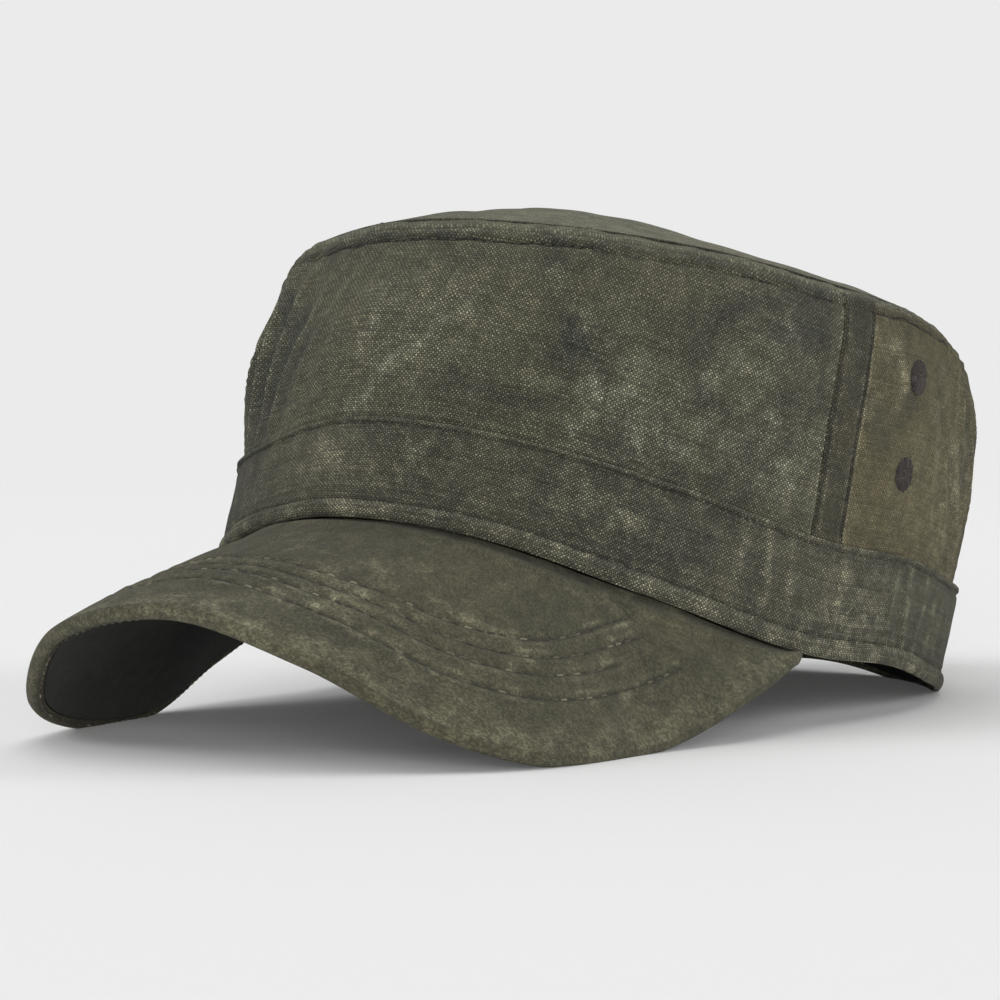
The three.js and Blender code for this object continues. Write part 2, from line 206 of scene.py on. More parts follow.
RINGS = (
    Ring(1.0, 1.0, 0.0, 0.0),
    Ring(0.9976, 1.014, 0.03, 0.008),
    Ring(0.986, 1.043, 0.048, 0.013),
    Ring(0.9135, 1.013, 0.065, 0.028),
)

FOLDS = (
    Fold(-50, 2.2, 7, 1.0, 4, -1.2),
    Fold(-34, 2.1, 5, 1.0, 6, 0.9),
    Fold(-24, 2.0, 6, 0.9, 8, -0.9),
    Fold(2, 2.2, 9, 0.7, 14, 0.8),
    Fold(20, 1.9, 10, 0.8, 10, -0.7),
    Fold(60, 1.8, 14, 0.7, 0, -0.9),
    Fold(112, 2.2, 6, 0.9, -5, -0.9),
    Fold(128, 2.1, 6, 0.9, -4, 0.8),
    Fold(158, 2.0, 10, 0.9, 0, -1.2),
    Fold(-150, 2.0, 9, 0.9, 0, -1.0),
    Fold(-104, 2.1, 9, 0.9, 3, -0.9),
)

PEAK_EDGE = (
    EdgeRow(-56, 0.149, 0.195),
    EdgeRow(-40, 0.382, -0.013),
    EdgeRow(-30, 0.697, 0.024),
    EdgeRow(-22, 0.934, 0.172),
    EdgeRow(-12, 1.063, 0.509),
    EdgeRow(0, 1.0, 0.635),
    EdgeRow(12, 1.003, 0.455),
    EdgeRow(22, 0.92, 0.165),
    EdgeRow(30, 0.753, 0.02),
    EdgeRow(40, 0.383, -0.01),
    EdgeRow(56, 0.148, 0.16),
)


def between(low: float, high: float, value: Array) -> Array:
    """Smooth step from 0 at low to 1 at high."""
    share = np.clip((value - low) / (high - low), 0.0, 1.0)
    return share * share * (3 - 2 * share)


def bell(value: Array, width: float) -> Array:
    """Bell curve that is 1 at zero."""
    return np.exp(-((value / width) ** 2))


def half_turned(angle: Array) -> Array:
    """The same angle from -180 to 180 degrees."""
    return (np.asarray(angle, float) + 180.0) % 360.0 - 180.0


def unit(vectors: Array) -> Array:
    """The vectors with length 1."""
    return vectors / np.maximum(np.linalg.norm(vectors, axis=-1, keepdims=True), 1e-12)


def drift(points: Array, size: float, seed: float = 0.0) -> Array:
    """Smooth noise from about -1 to 1 in space.

    Args:
        points: places in mm, with the coordinates last.
        size: size of the noise's lumps in mm.
        seed: shifts the noise to another pattern.

    Returns:
        One number for each place.
    """
    places = points.reshape(-1, 3) / size + seed
    values = [noise.noise(Vector(place)) for place in places]
    return 2.0 * np.array(values).reshape(points.shape[:-1])


def mirrored(values: Array) -> Array:
    """The values of an outer face, and the same again for the inner face on the way back."""
    return np.concatenate([values, values[:, ::-1]], 1)


def smooth_column(rows: Sequence, column: str, angle: Array) -> Array:
    """Smooth value of a table's column at an angle.

    Args:
        rows: table rows with an angle each, in rising order.
        column: name of the value.
        angle: angles in degrees.

    Returns:
        The column's value at each angle.
    """
    knots = np.array([row.angle for row in rows], float)
    values = np.array([getattr(row, column) for row in rows], float)
    chord = np.diff(values) / np.diff(knots)
    slopes = np.concatenate([chord[:1], (chord[:-1] + chord[1:]) / 2, chord[-1:]])
    at = np.clip(angle, knots[0], knots[-1])
    right = np.clip(np.searchsorted(knots, at), 1, len(knots) - 1)
    span = knots[right] - knots[right - 1]
    share = (at - knots[right - 1]) / span
    return (
        values[right - 1] * (1 - share) ** 2 * (1 + 2 * share)
        + slopes[right - 1] * span * share * (1 - share) ** 2
        + values[right] * share**2 * (3 - 2 * share)
        - slopes[right] * span * share**2 * (1 - share)
    )


def around_stations() -> tuple[Station, ...]:
    """The stations with the nearest rows of the turns before and after, so that the ring closes on itself."""
    before = [replace(row, angle=row.angle - 360) for row in STATIONS[-3:]]
    after = [replace(row, angle=row.angle + 360) for row in STATIONS[:3]]
    return (*before, *STATIONS, *after)


AROUND_STATIONS = around_stations()


@dataclass(frozen=True)
class CapSizes:
    """The sizes of the cap's solids, which the dressed pieces follow."""

    rim_length: float = 208.0
    rim_width: float = 161.0
    rim_lift: float = 52.4
    crown_height: float = 55.0
    seam_inset: float = 2.0
    seam_rise: float = 2.7
    top_stitch_inset: float = 4.4
    top_stitch_rise: float = 4.9
    dome_height: float = 15.0
    pull_at_half: float = 0.4
    band_height: float = 28.0
    hem_height: float = 4.0
    hem_proud: float = 0.8
    fold_height: float = 1.6
    fold_proud: float = 0.4
    crown_tuck: float = 8.0
    sweatband_height: float = 26.0
    sweatband_raise: float = 1.2
    crown_cloth: float = 1.5
    band_cloth: float = 1.1
    sweatband_cloth: float = 1.2
    peak_top_cloth: float = 2.2
    peak_under_cloth: float = 1.3
    gap: float = 0.3
    side_seam_angle: float = 76.0
    side_seam_width: float = 9.0
    side_seam_proud: float = 0.6
    peak_length: float = 58.0
    peak_root_inset: float = 1.0
    peak_span: float = 76.0
    peak_end_share: float = 0.965
    peak_arch: float = 1.6
    peak_sections: int = 32
    roll_width: float = 3.2
    roll_round: float = 1.3
    eyelet_radius: float = 4.2
    eyelet_hole_radius: float = 0.8


class Level:
    """Levels of the wall from the rim up."""

    RIM = 0.0
    BAND_TOP = 1.0
    STITCH = 3.0
    SEAM = 4.0
    TOP_STITCH = 5.0


@dataclass
class CapForm:
    """The cap's true form, in mm in the frame: its wall, its top and its peak as surfaces."""

    sizes: CapSizes = field(default_factory=CapSizes)
    shift: Array = field(default_factory=lambda: np.zeros(3))

    @classmethod
    def from_frame(cls) -> "CapForm":
        """The form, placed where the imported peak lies."""
        low = np.array(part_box("peak_top")[0]) / MM
        form = cls()
        shares = form.sizes.peak_end_share * np.linspace(1, -1, form.sizes.peak_sections + 1)
        depths = [np.full_like(shares, form.peak_depth * part / 3) for part in (1, 2)]
        nose = np.concatenate([form.peak(shares, 0 * shares, depth) for depth in depths])
        form.shift = np.append(low[:2] - nose[:, :2].min(0), 0.0)
        return form

    @property
    def peak_depth(self) -> float:
        """Thickness of the whole peak."""
        sizes = self.sizes
        return sizes.peak_top_cloth + sizes.gap + sizes.peak_under_cloth

    def rings(self, angle: Array) -> Array:
        """The six ring points of the wall at each angle, rings first."""
        sizes = self.sizes
        turned = half_turned(angle)
        turn = np.radians(angle)
        band = sizes.band_height * smooth_column(AROUND_STATIONS, "band", turned)
        crown = sizes.crown_height * smooth_column(AROUND_STATIONS, "crown", turned)
        rim = sizes.rim_lift * smooth_column(AROUND_STATIONS, "rim", turned)
        pull = sizes.top_stitch_inset * smooth_column(AROUND_STATIONS, "pull", turned)
        top = band + crown
        rises = [0 * band, band, band + crown / 2, top, top + sizes.seam_rise, top + sizes.top_stitch_rise]
        insets = [0.0, 0.0, sizes.pull_at_half * pull, pull, pull + sizes.seam_inset, pull + sizes.top_stitch_inset]
        points = []
        for number, (rise, inset) in enumerate(zip(rises, insets)):
            ring = RINGS[min(number, len(RINGS) - 1)]
            across = sizes.rim_width * (ring.side + ring.width / 2 * np.sin(turn)) - inset * np.sin(turn)
            along = sizes.rim_length * (ring.back - ring.length / 2 * np.cos(turn)) + inset * np.cos(turn)
            points.append(np.stack([across, along, rim + rise], -1))
        return np.stack(points)

    def smooth_wall(self, angle: Array, level: Array) -> Array:
        """Point of the crown's outer face before folds.

        Args:
            angle: degrees round the cap from the front.
            level: 0 at the rim, 1 at the band's top, 3 and 5 at the stitch lines of the top seam.

        Returns:
            Points in mm, in the cap's own frame without the shift.
        """
        angle, level = np.broadcast_arrays(np.asarray(angle, float), np.asarray(level, float))
        rings = self.rings(angle)
        before = 2 * rings[:1] - rings[1:2]
        after = 2 * rings[-1:] - rings[-2:-1]
        line = np.concatenate([before, rings, after])
        first = np.clip(np.floor(level), 0, Level.TOP_STITCH - 1).astype(int)
        share = (level - first)[..., None]
        corner = [np.take_along_axis(line, (first + step)[None, ..., None], 0)[0] for step in range(4)]
        step = [np.linalg.norm(corner[k + 1] - corner[k], axis=-1, keepdims=True) ** 0.5 for k in range(3)]
        leave = (corner[1] - corner[0]) / step[0] - (corner[2] - corner[0]) / (step[0] + step[1])
        leave = (leave + (corner[2] - corner[1]) / step[1]) * step[1]
        arrive = (corner[2] - corner[1]) / step[1] - (corner[3] - corner[1]) / (step[1] + step[2])
        arrive = (arrive + (corner[3] - corner[2]) / step[2]) * step[1]
        square = -3 * corner[1] + 3 * corner[2] - 2 * leave - arrive
        cube = 2 * corner[1] - 2 * corner[2] + leave + arrive
        return corner[1] + leave * share + square * share**2 + cube * share**3

    def outward(self, angle: Array, level: Array) -> Array:
        """Direction out of the wall."""
        angle, level = np.broadcast_arrays(np.asarray(angle, float), np.asarray(level, float))
        low = np.maximum(level - 0.01, Level.RIM)
        high = np.minimum(level + 0.01, Level.TOP_STITCH)
        up = self.smooth_wall(angle, high) - self.smooth_wall(angle, low)
        around = self.smooth_wall(angle + 1, level) - self.smooth_wall(angle - 1, level)
        return unit(np.cross(around, up))

    def folds(self, angle: Array, level: Array) -> Array:
        """How far the soft folds move the crown, in mm."""
        fade = between(Level.BAND_TOP, Level.BAND_TOP + 0.6, level)
        shoulder = 1 - between(Level.STITCH - 0.5, Level.STITCH, level)
        depth = np.zeros(np.broadcast(angle, level).shape)
        for fold in FOLDS:
            across = half_turned(angle - fold.angle - fold.slant * (level - fold.level)) / fold.wide
            along = (level - fold.level) / fold.tall
            depth += fold.depth * np.exp(-(across**2) - along**2)
        return self.sizes.crown_cloth * depth * fade * shoulder

    def wall(self, angle: Array, level: Array, out: Array, relief: Array = 0.0) -> Array:
        """Point out of the crown's face, in the frame.

        Args:
            angle: degrees round the cap.
            level: level up the wall.
            out: distance outwards in mm.
            relief: fine relief in mm, added to the soft folds.

        Returns:
            Points in mm.
        """
        shift = np.asarray(out + self.folds(angle, level) + relief)[..., None]
        points = self.smooth_wall(angle, level) + self.outward(angle, level) * shift
        points[..., 2] = np.maximum(points[..., 2], 0.0)
        return points + self.shift

    def height_of(self, level: Array) -> Array:
        """Length of cloth from the rim up to a level, in mm."""
        heights = self.level_heights
        return np.interp(level, np.arange(len(heights)), heights)

    def level_at(self, height: Array) -> Array:
        """Level at a length of cloth up from the rim."""
        heights = self.level_heights
        return np.interp(height, heights, np.arange(len(heights)))

    @property
    def level_heights(self) -> Array:
        """Usual length of cloth from the rim up to each whole level, in mm."""
        sizes = self.sizes
        band = sizes.band_height * 0.9
        half = sizes.crown_height / 2
        seam = math.hypot(sizes.seam_inset, sizes.seam_rise)
        stitch = math.hypot(sizes.top_stitch_inset, sizes.top_stitch_rise)
        return np.cumsum([0.0, band, half, half, seam, stitch - seam])

    def arc_of(self, angle: Array) -> Array:
        """Length of cloth round the crown from the front to an angle, in mm."""
        fine = np.linspace(-200.0, 380.0, 1161)
        line = self.smooth_wall(fine, np.full_like(fine, 2.0))
        length = np.concatenate([[0.0], np.cumsum(np.linalg.norm(np.diff(line, axis=0), axis=-1))])
        return np.interp(angle, fine, length) - np.interp(0.0, fine, length)

    def peak_root(self, share: Array) -> Array:
        """The peak's upper face at its inner edge, just under the band's hem."""
        angle = share * self.sizes.peak_span
        out = self.outward(angle, np.zeros_like(angle))
        root = self.smooth_wall(angle, np.zeros_like(angle)) - out * self.sizes.peak_root_inset
        root[..., 2] -= self.sizes.gap + self.sizes.peak_root_inset / 2
        return root

    def peak_edge(self, share: Array) -> Array:
        """The middle of the rolled outer edge."""
        sizes = self.sizes
        ends = self.smooth_wall(np.array([-sizes.peak_span, sizes.peak_span]), np.zeros(2))
        plan = np.degrees(np.arctan2(ends[:, 0], -ends[:, 1]))
        on_rim = [EdgeRow(at, 0.0, end[2] / sizes.rim_lift) for at, end in zip(plan, ends)]
        rows = (on_rim[0], *PEAK_EDGE, on_rim[1])
        angle = np.where(share < 0, -share * plan[0], share * plan[1])
        length = sizes.rim_length / 2 + sizes.gap + sizes.band_cloth
        width = sizes.rim_width / 2 + sizes.gap + sizes.band_cloth
        turn = np.radians(angle)
        hem = length * width / np.hypot(width * np.cos(turn), length * np.sin(turn))
        radius = hem + sizes.peak_length * smooth_column(rows, "reach", angle)
        height = sizes.rim_lift * smooth_column(rows, "height", angle)
        return np.stack([radius * np.sin(turn), -radius * np.cos(turn), height], -1)

    def peak_frame(self, share: Array) -> tuple[Array, Array, Array, Array]:
        """Inner edge, outer edge, way up and length of the peak's sections."""
        step = 0.01
        tangent = self.peak_root(share + step) - self.peak_root(share - step)
        tangent = tangent + self.peak_edge(share + step) - self.peak_edge(share - step)
        root = self.peak_root(share)
        edge = self.peak_edge(share)
        up = unit(np.cross(edge - root, tangent))
        up = np.where(up[..., 2:] < 0, -up, up)
        edge = edge + up * self.peak_depth / 2
        return root, edge, up, np.linalg.norm(edge - root, axis=-1)

    def peak(self, share: Array, back: Array, depth: Array) -> Array:
        """Point of the peak, in the frame.

        Args:
            share: place along the peak, -1 and 1 at its ends on the rim.
            back: distance back from the outer edge in mm.
            depth: distance under the upper face in mm.

        Returns:
            Points in mm.
        """
        root, edge, up, length = self.peak_frame(share)
        along = (1 - back / length)[..., None]
        swell = self.sizes.peak_arch * 4 * along * (1 - along)
        swell = swell * np.minimum(1.0, length / self.sizes.peak_length)[..., None]
        lift = swell - np.asarray(depth)[..., None]
        points = root + (edge - root) * along + up * lift
        points[..., 2] = np.maximum(points[..., 2], 0.0)
        return points + self.shift


@dataclass
class Cloth:
    """A mesh in the making: points and faces, with what the finish reads at each point."""

    points: list[Array] = field(default_factory=list)
    faces: list[Array] = field(default_factory=list)
    weave: list[Array] = field(default_factory=list)
    rub: list[Array] = field(default_factory=list)
    shade: list[Array] = field(default_factory=list)
    count: int = 0

    def add(self, points: Array, faces: Array, weave: Array, rub: Array, shade: Array) -> None:
        """Adds points, faces of four corners and what the finish reads.

        Args:
            points: places in mm, one row each.
            faces: corner numbers within these points.
            weave: cloth coordinates in mm, one row for each point.
            rub: how rubbed the cloth is at each point, from 0 to 1.
            shade: how dark it is at each point, from 0 to 1 for stains and painted shade; above 1 it is deeper painted
                shade in grooves.
        """
        self.points.append(points.reshape(-1, 3))
        self.faces.append(faces + self.count)
        self.weave.append(weave.reshape(-1, 2))
        self.rub.append(np.asarray(rub, float).reshape(-1))
        self.shade.append(np.asarray(shade, float).reshape(-1))
        self.count += len(self.points[-1])

    def make(self, name: str, sharp: float = 50.0) -> bpy.types.Object:
        """The finished object.

        Args:
            name: the piece's name.
            sharp: edges that bend more than this angle stay sharp.

        Returns:
            A new object in the scene.
        """
        points = np.concatenate(self.points) * MM
        faces = np.concatenate(self.faces)
        mesh = bpy.data.meshes.new(name)
        mesh.vertices.add(len(points))
        mesh.vertices.foreach_set("co", points.astype(np.float32).ravel())
        mesh.loops.add(faces.size)
        mesh.loops.foreach_set("vertex_index", faces.astype(np.int32).ravel())
        mesh.polygons.add(len(faces))
        mesh.polygons.foreach_set("loop_start", np.arange(0, faces.size, 4, dtype=np.int32))
        mesh.polygons.foreach_set("use_smooth", np.ones(len(faces), bool))
        weave = np.concatenate(self.weave)
        flat = np.column_stack([weave, np.zeros(len(weave))]).astype(np.float32)
        mesh.attributes.new("cloth", "FLOAT_VECTOR", "POINT").data.foreach_set("vector", flat.ravel())
        for label, parts in (("rub", self.rub), ("shade", self.shade)):
            values = np.concatenate(parts).astype(np.float32)
            mesh.attributes.new(label, "FLOAT", "POINT").data.foreach_set("value", values)
        mesh.update(calc_edges=True)
        mesh.validate(clean_customdata=False)
        mesh.set_sharp_from_angle(angle=math.radians(sharp))
        piece = bpy.data.objects.new(name, mesh)
        bpy.context.scene.collection.objects.link(piece)
        return piece


def loop_faces(sections: int, size: int, closed: bool) -> Array:
    """Faces of a solid whose sections are loops of equal size.

    Args:
        sections: number of sections.
        size: points in each section's loop, out along one face and back along the other.
        closed: whether the last section joins the first.

    Returns:
        Corner numbers, four for each face.
    """
    rows = np.arange(sections if closed else sections - 1)[:, None]
    here = np.arange(size)[None, :]
    following = (here + 1) % size
    after = (rows + 1) % sections
    quads = np.stack([rows * size + here, after * size + here, after * size + following, rows * size + following], -1)
    quads = quads.reshape(-1, 4)
    if closed:
        return quads
    half = np.arange(size // 2 - 1)
    ladder = np.stack([half, half + 1, size - 2 - half, size - 1 - half], -1)
    last = (sections - 1) * size + ladder[:, ::-1]
    return np.concatenate([quads, ladder, last])


def place_piece(piece: bpy.types.Object, finish: bpy.types.Material, slot: Slot, *nodes: str) -> bpy.types.Object:
    """Gives a piece its finish and body, and lets it stand for its solids.

    Args:
        piece: the new object.
        finish: its material.
        slot: the record's slot that the finish belongs to; not used.
        nodes: names of the solids that it replaces.

    Returns:
        The same object.
    """
    piece.data.materials.clear()
    piece.data.materials.append(finish)
    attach(piece, BODY)
    if nodes:
        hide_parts(*nodes)
    log.info("%s: %d faces, stands for %s", piece.name, len(piece.data.polygons), ", ".join(nodes) or "none")
    return piece


@dataclass(frozen=True)
class SewnRow:
    """A row of stitches: its pitch, the share of it that shows, and the thread's thickness, in mm."""

    pitch: float = 2.3
    shown: float = 0.82
    thick: float = 0.32
    sides: int = 6
    sag: float = 0.55

    def sew(self, cloth: Cloth, line: Array, out: Array, closed: bool, seed: int) -> int:
        """Adds the row's stitches.

        Args:
            cloth: the mesh that takes them.
            line: dense points of the row on the cloth, in mm.
            out: direction out of the cloth at each point.
            closed: whether the row is a ring.
            seed: for the small differences between stitches.

        Returns:
            The number of stitches.
        """
        if closed:
            line = np.concatenate([line, line[:1]])
            out = np.concatenate([out, out[:1]])
        length = np.concatenate([[0.0], np.cumsum(np.linalg.norm(np.diff(line, axis=0), axis=-1))])
        count = max(1, int(length[-1] / self.pitch))
        pitch = length[-1] / count
        chance = np.random.default_rng(seed)
        starts = (np.arange(count) + 0.5 * (1 - self.shown)) * pitch + chance.uniform(-0.06, 0.06, count) * pitch
        lengths = pitch * self.shown * chance.uniform(0.88, 1.06, count)
        shares = np.array([0.0, 0.14, 0.5, 0.86, 1.0])
        lifts = np.array([-self.sag, 0.25, 0.42, 0.25, -self.sag]) * self.thick
        widths = np.array([0.35, 0.9, 1.0, 0.9, 0.35]) * self.thick / 2
        at = starts[:, None] + lengths[:, None] * shares
        middle = np.stack([np.interp(at, length, line[:, k]) for k in range(3)], -1)
        normal = unit(np.stack([np.interp(at, length, out[:, k]) for k in range(3)], -1))
        along = unit(np.gradient(middle, axis=1))
        side = unit(np.cross(along, normal))
        turn = np.arange(self.sides) * 2 * math.pi / self.sides
        middle = middle + normal * lifts[None, :, None]
        ring = side[:, :, None] * np.cos(turn)[None, None, :, None] + normal[:, :, None] * np.sin(turn)[None, None, :, None]
        points = middle[:, :, None] + ring * widths[None, :, None, None]
        rows, size = len(shares), self.sides
        here = np.arange(size)
        follow = (here + 1) % size
        strips = [
            np.stack([row * size + here, row * size + follow, (row + 1) * size + follow, (row + 1) * size + here], -1)
            for row in range(rows - 1)
        ]
        one = np.concatenate(strips)
        faces = (one[None] + (np.arange(count) * rows * size)[:, None, None]).reshape(-1, 4)
        weave = np.zeros((points.size // 3, 2))
        weave[:, 0] = np.repeat(at.ravel(), size)
        tone = np.repeat(chance.uniform(0, 1, count) ** 3, rows * size)
        cloth.add(points, faces, weave, tone, np.zeros_like(tone))
        return count


CROWN_CREASES = (
    Crease((17.5, 2.38), (-2, 1.1), 1.3, 0.3, 0.75, 0.8),
    Crease((13, 2.5), (4, 1.95), 1.0, 0.2, 0.4, 1.2),
    Crease((1.5, 2.5), (0, 1.7), 1.1, 0.2, 0.5, 0.4),
    Crease((26, 2.75), (31, 2.2), 1.2, 0.2, 0.35, 1.0),
    Crease((37, 1.9), (36.8, 1.5), 1.6, 0.15, 0.85, 0.6),
    Crease((36.8, 1.5), (35, 1.12), 1.3, 0.15, 0.6, 0.4),
    Crease((40, 1.76), (44, 1.72), 1.6, 0.1, 0.9, 0.4),
    Crease((44.5, 1.44), (53, 1.34), 1.5, 0.15, 0.7, 0.8),
    Crease((41.5, 1.36), (45, 1.1), 1.6, 0.1, 0.7, 0.5),
    Crease((52, 2.14), (54.5, 1.95), 1.2, 0.1, 0.7, 0.3),
    Crease((61.5, 1.87), (65, 1.83), 1.4, 0.1, 0.85, 0.3),
    Crease((65, 1.48), (69, 1.28), 1.6, 0.1, 0.8, 0.3),
    Crease((59, 2.6), (68, 2.3), 1.3, 0.15, 0.4, 1.0),
    Crease((84, 2.75), (88, 2.2), 1.3, 0.2, 0.6, 0.8),
    Crease((112, 2.4), (116, 1.3), 1.6, 0.3, 0.7, 1.0),
    Crease((150, 2.6), (166, 1.5), 1.8, 0.3, 0.55, 2.0),
    Crease((-150, 2.3), (-162, 1.4), 1.8, 0.3, 0.55, 2.0),
    Crease((-118, 2.5), (-122, 1.3), 1.6, 0.3, 0.5, 1.0),
)

CROWN_RIPPLES = (
    Ripples(-34, 2.05, 19, 0.95, 6.4, 1.15, 1.3, 6.0),
    Ripples(8, 2.5, 12, 0.35, 7.5, 0.25, 0.25, 12.0),
    Ripples(116, 1.9, 22, 1.0, 5.5, 0.55, 0.8, -2.0),
    Ripples(-100, 1.9, 24, 1.0, 6.5, 0.35, 0.45, 3.0),
    Ripples(175, 2.0, 22, 1.0, 8.5, 0.4, 0.4, 5.0),
)

BAND_RIPPLES = (
    Ripples(66, 0.55, 5, 0.42, 4.6, 0.4, 1.1),
    Ripples(80, 0.5, 3, 0.45, 4.0, 0.3, 0.8),
    Ripples(97, 0.5, 11, 0.5, 4.5, 0.35, 0.8),
    Ripples(-20, 0.6, 12, 0.4, 7.0, 0.2, 0.3),
    Ripples(-110, 0.5, 22, 0.5, 6.0, 0.25, 0.4),
)

BULGES = (
    Patch(-60, 2.75, 17, 0.55, 1.5),
    Patch(128, 2.6, 18, 0.6, 0.8),
)

BAND_PATCHES = (
    Patch(-4, 0.62, 5, 0.3, 0.7),
    Patch(40, 0.6, 9, 0.3, 0.35),
    Patch(88, 0.4, 6, 0.4, 0.5),
    Patch(-70, 0.5, 12, 0.4, 0.4),
    Patch(150, 0.5, 16, 0.4, 0.4),
)

RUB_PATCHES = (
    Patch(42, 1.6, 9, 0.42, 0.4),
    Patch(64, 1.6, 8, 0.35, 0.3),
    Patch(60, 2.3, 9, 0.3, 0.2),
    Patch(10, 2.1, 9, 0.5, 0.25),
    Patch(76, 2.3, 5, 0.7, 0.2),
    Patch(108, 1.8, 12, 0.7, 0.35),
    Patch(178, 2.1, 20, 0.5, 0.3),
    Patch(-125, 1.8, 18, 0.6, 0.35),
)

DARK_PATCHES = (
    Patch(34, 2.05, 6, 0.3, 1.0),
    Patch(50, 2.35, 7, 0.25, 0.7),
    Patch(53, 1.86, 4, 0.2, 0.6),
    Patch(28, 1.3, 10, 0.25, 0.5),
    Patch(66, 2.1, 6, 0.5, 0.5),
    Patch(20, 2.75, 14, 0.12, 0.5),
    Patch(-8, 1.6, 6, 0.4, 0.4),
    Patch(100, 2.6, 8, 0.2, 0.5),
)

PEAK_CREASES = (
    Crease((0.26, 39.0), (0.39, 31.5), 1.3, 0.35, 0.9, 1.0),
    Crease((0.12, 12.0), (0.2, 33.0), 1.2, 0.3, 0.85, 1.5),
    Crease((0.2, 33.0), (0.16, 46.0), 1.2, 0.3, 0.75, -1.0),
    Crease((-0.1, 14.0), (-0.22, 34.0), 1.3, 0.3, 0.7, 1.5),
    Crease((-0.4, 20.0), (-0.3, 36.0), 1.3, 0.2, 0.35, 1.0),
)

PEAK_ROWS = (
    PeakRow(0.6, 29.8, 33.8, 32.6),
    PeakRow(0.605, 25.6, 28.6, 26.8),
    PeakRow(0.545, 21.9, 23.6, 22.5),
    PeakRow(0.66, 16.6, 16.7, 15.6),
)


@dataclass
class CrownRelief:
    """Fine relief, wear, stains and painted shade of the crown cloth, over its soft folds."""

    form: CapForm

    def segment(self, crease: Crease, across: Array, up: Array) -> tuple[Array, Array]:
        """Distance of each place from a crease in mm, and how strong the crease is there."""
        start = np.array([self.form.arc_of(crease.start[0]), self.form.height_of(crease.start[1])])
        end = np.array([self.form.arc_of(crease.end[0]), self.form.height_of(crease.end[1])])
        way = end - start
        length = float(np.hypot(*way))
        share = ((across - start[0]) * way[0] + (up - start[1]) * way[1]) / length**2
        distance = ((up - start[1]) * way[0] - (across - start[0]) * way[1]) / length
        distance = distance - crease.bow * 4 * share * (1 - share)
        return distance, between(-0.15, 0.25, share) * (1 - between(0.75, 1.15, share))

    def at(self, angle: Array, level: Array) -> tuple[Array, Array, Array]:
        """Relief, rub and shade.

        Args:
            angle: degrees round the cap.
            level: level up the wall.

        Returns:
            Relief in mm, and how rubbed and how dark the cloth is, from 0 to 1.
        """
        form = self.form
        place = form.smooth_wall(angle, level)
        turned = half_turned(angle)
        across = form.arc_of(turned)
        up = form.height_of(level)
        calm = between(Level.BAND_TOP, Level.BAND_TOP + 0.12, level)
        relief = 0.42 * drift(place * [1, 1, 0.6], 24.0, 3.1) + 0.16 * drift(place, 9.0, 7.7)
        relief *= calm * (1 - 0.6 * between(2.8, 3.0, level))
        rub = np.zeros_like(relief)
        shade = np.zeros_like(relief)
        wander = 1.3 * drift(place, 9.0, 6.1) + 0.6 * drift(place, 4.0, 2.9)
        for crease in CROWN_CREASES:
            distance, strength = self.segment(crease, across, up)
            distance = distance + wander
            relief += crease.height * bell(distance, crease.width) * strength
            rub = np.maximum(rub, crease.rub * bell(distance, crease.width * 1.3) * strength)
        sway = 2.2 * drift(place, 26.0, 1.3)
        for row in CROWN_RIPPLES:
            window = bell(half_turned(turned - row.angle), row.wide) * bell(level - row.level, row.tall) * calm
            phase = turned - row.slant * (level - row.level) + sway
            wave = 1 - 2 * np.abs(np.sin(math.pi * phase / row.pitch)) ** 0.85
            relief += row.height * wave * window
            rub = np.maximum(rub, row.rub * window * np.clip(wave, 0, 1) ** 3)
            # Darker in the ripples' troughs: painted shade. The lighter crests are rubbed wear.
            shade = np.maximum(shade, 0.5 * row.rub * window * np.clip(-wave, 0, 1) ** 2)
        for patch in RUB_PATCHES:
            rub = np.maximum(rub, self.patch(patch, turned, level))
        for patch in DARK_PATCHES:
            shade = np.maximum(shade, self.patch(patch, turned, level))
        pucker = self.pucker(turned)
        relief += 0.4 * pucker * between(2.72, 3.0, level) * (1 - between(5.0, 5.2, level))
        for bulge in BULGES:
            relief += self.patch(bulge, turned, level)
        line, ridge, last = (form.height_of(stage) for stage in (Level.STITCH, Level.SEAM, Level.TOP_STITCH))
        raised = between(line, line + 1.0, up) * (1 - between(last - 0.9, last, up))
        # Painted shade: dark lines in the grooves of the seam's two stitch lines.
        for middle, wide in ((line + self.wander(turned), 0.34), (last, 0.6)):
            relief -= 0.5 * bell(up - middle, 2 * wide)
            shade = np.maximum(shade, 1.6 * bell(up - middle, wide))
        relief += 0.55 * raised - 0.4 * bell(up - ridge, 0.4)
        worn = bell(up - ridge + 1.1, 0.5) * (0.6 + 0.4 * pucker)
        rub = np.maximum(rub * (1 - 0.6 * raised), 0.5 * worn)
        shade = np.maximum(shade, raised * (0.55 - 0.6 * worn + 0.3 * pucker))
        # Painted shade in the groove along the seam's ridge.
        shade = np.maximum(shade, 1.15 * bell(up - ridge, 0.3))
        return relief, rub, shade

    def pucker(self, angle: Array) -> Array:
        """How the top seam's stitches pull the cloth in and out along it, from about -1 to 1."""
        across = self.form.arc_of(half_turned(angle))
        along = np.stack([across / 7.0, 0 * across, 0 * across], -1)
        return 0.7 * drift(along, 1.0, 5.5) + 0.4 * drift(along * 2.3, 1.0, 8.5)

    def wander(self, angle: Array) -> Array:
        """How far the seam's lower stitch line strays upwards, in mm."""
        across = self.form.arc_of(half_turned(angle))
        along = np.stack([across / 13.0, 0 * across, 0 * across], -1)
        return 0.5 * drift(along, 1.0, 2.5) + 0.2 * self.pucker(angle)

    def patch(self, patch: Patch, angle: Array, level: Array) -> Array:
        """Strength of a soft patch at each place."""
        return patch.strength * bell(half_turned(angle - patch.angle), patch.wide) * bell(level - patch.level, patch.tall)


def crown_levels(low: float, high: float) -> Array:
    """Rows of the crown cloth, closer together at the top seam.

    Args:
        low: first level.
        high: last level.

    Returns:
        Levels from low to high.
    """
    wall = np.linspace(low, 2.82, 62)
    seam = np.linspace(2.85, high, 32)
    return np.concatenate([wall, seam])


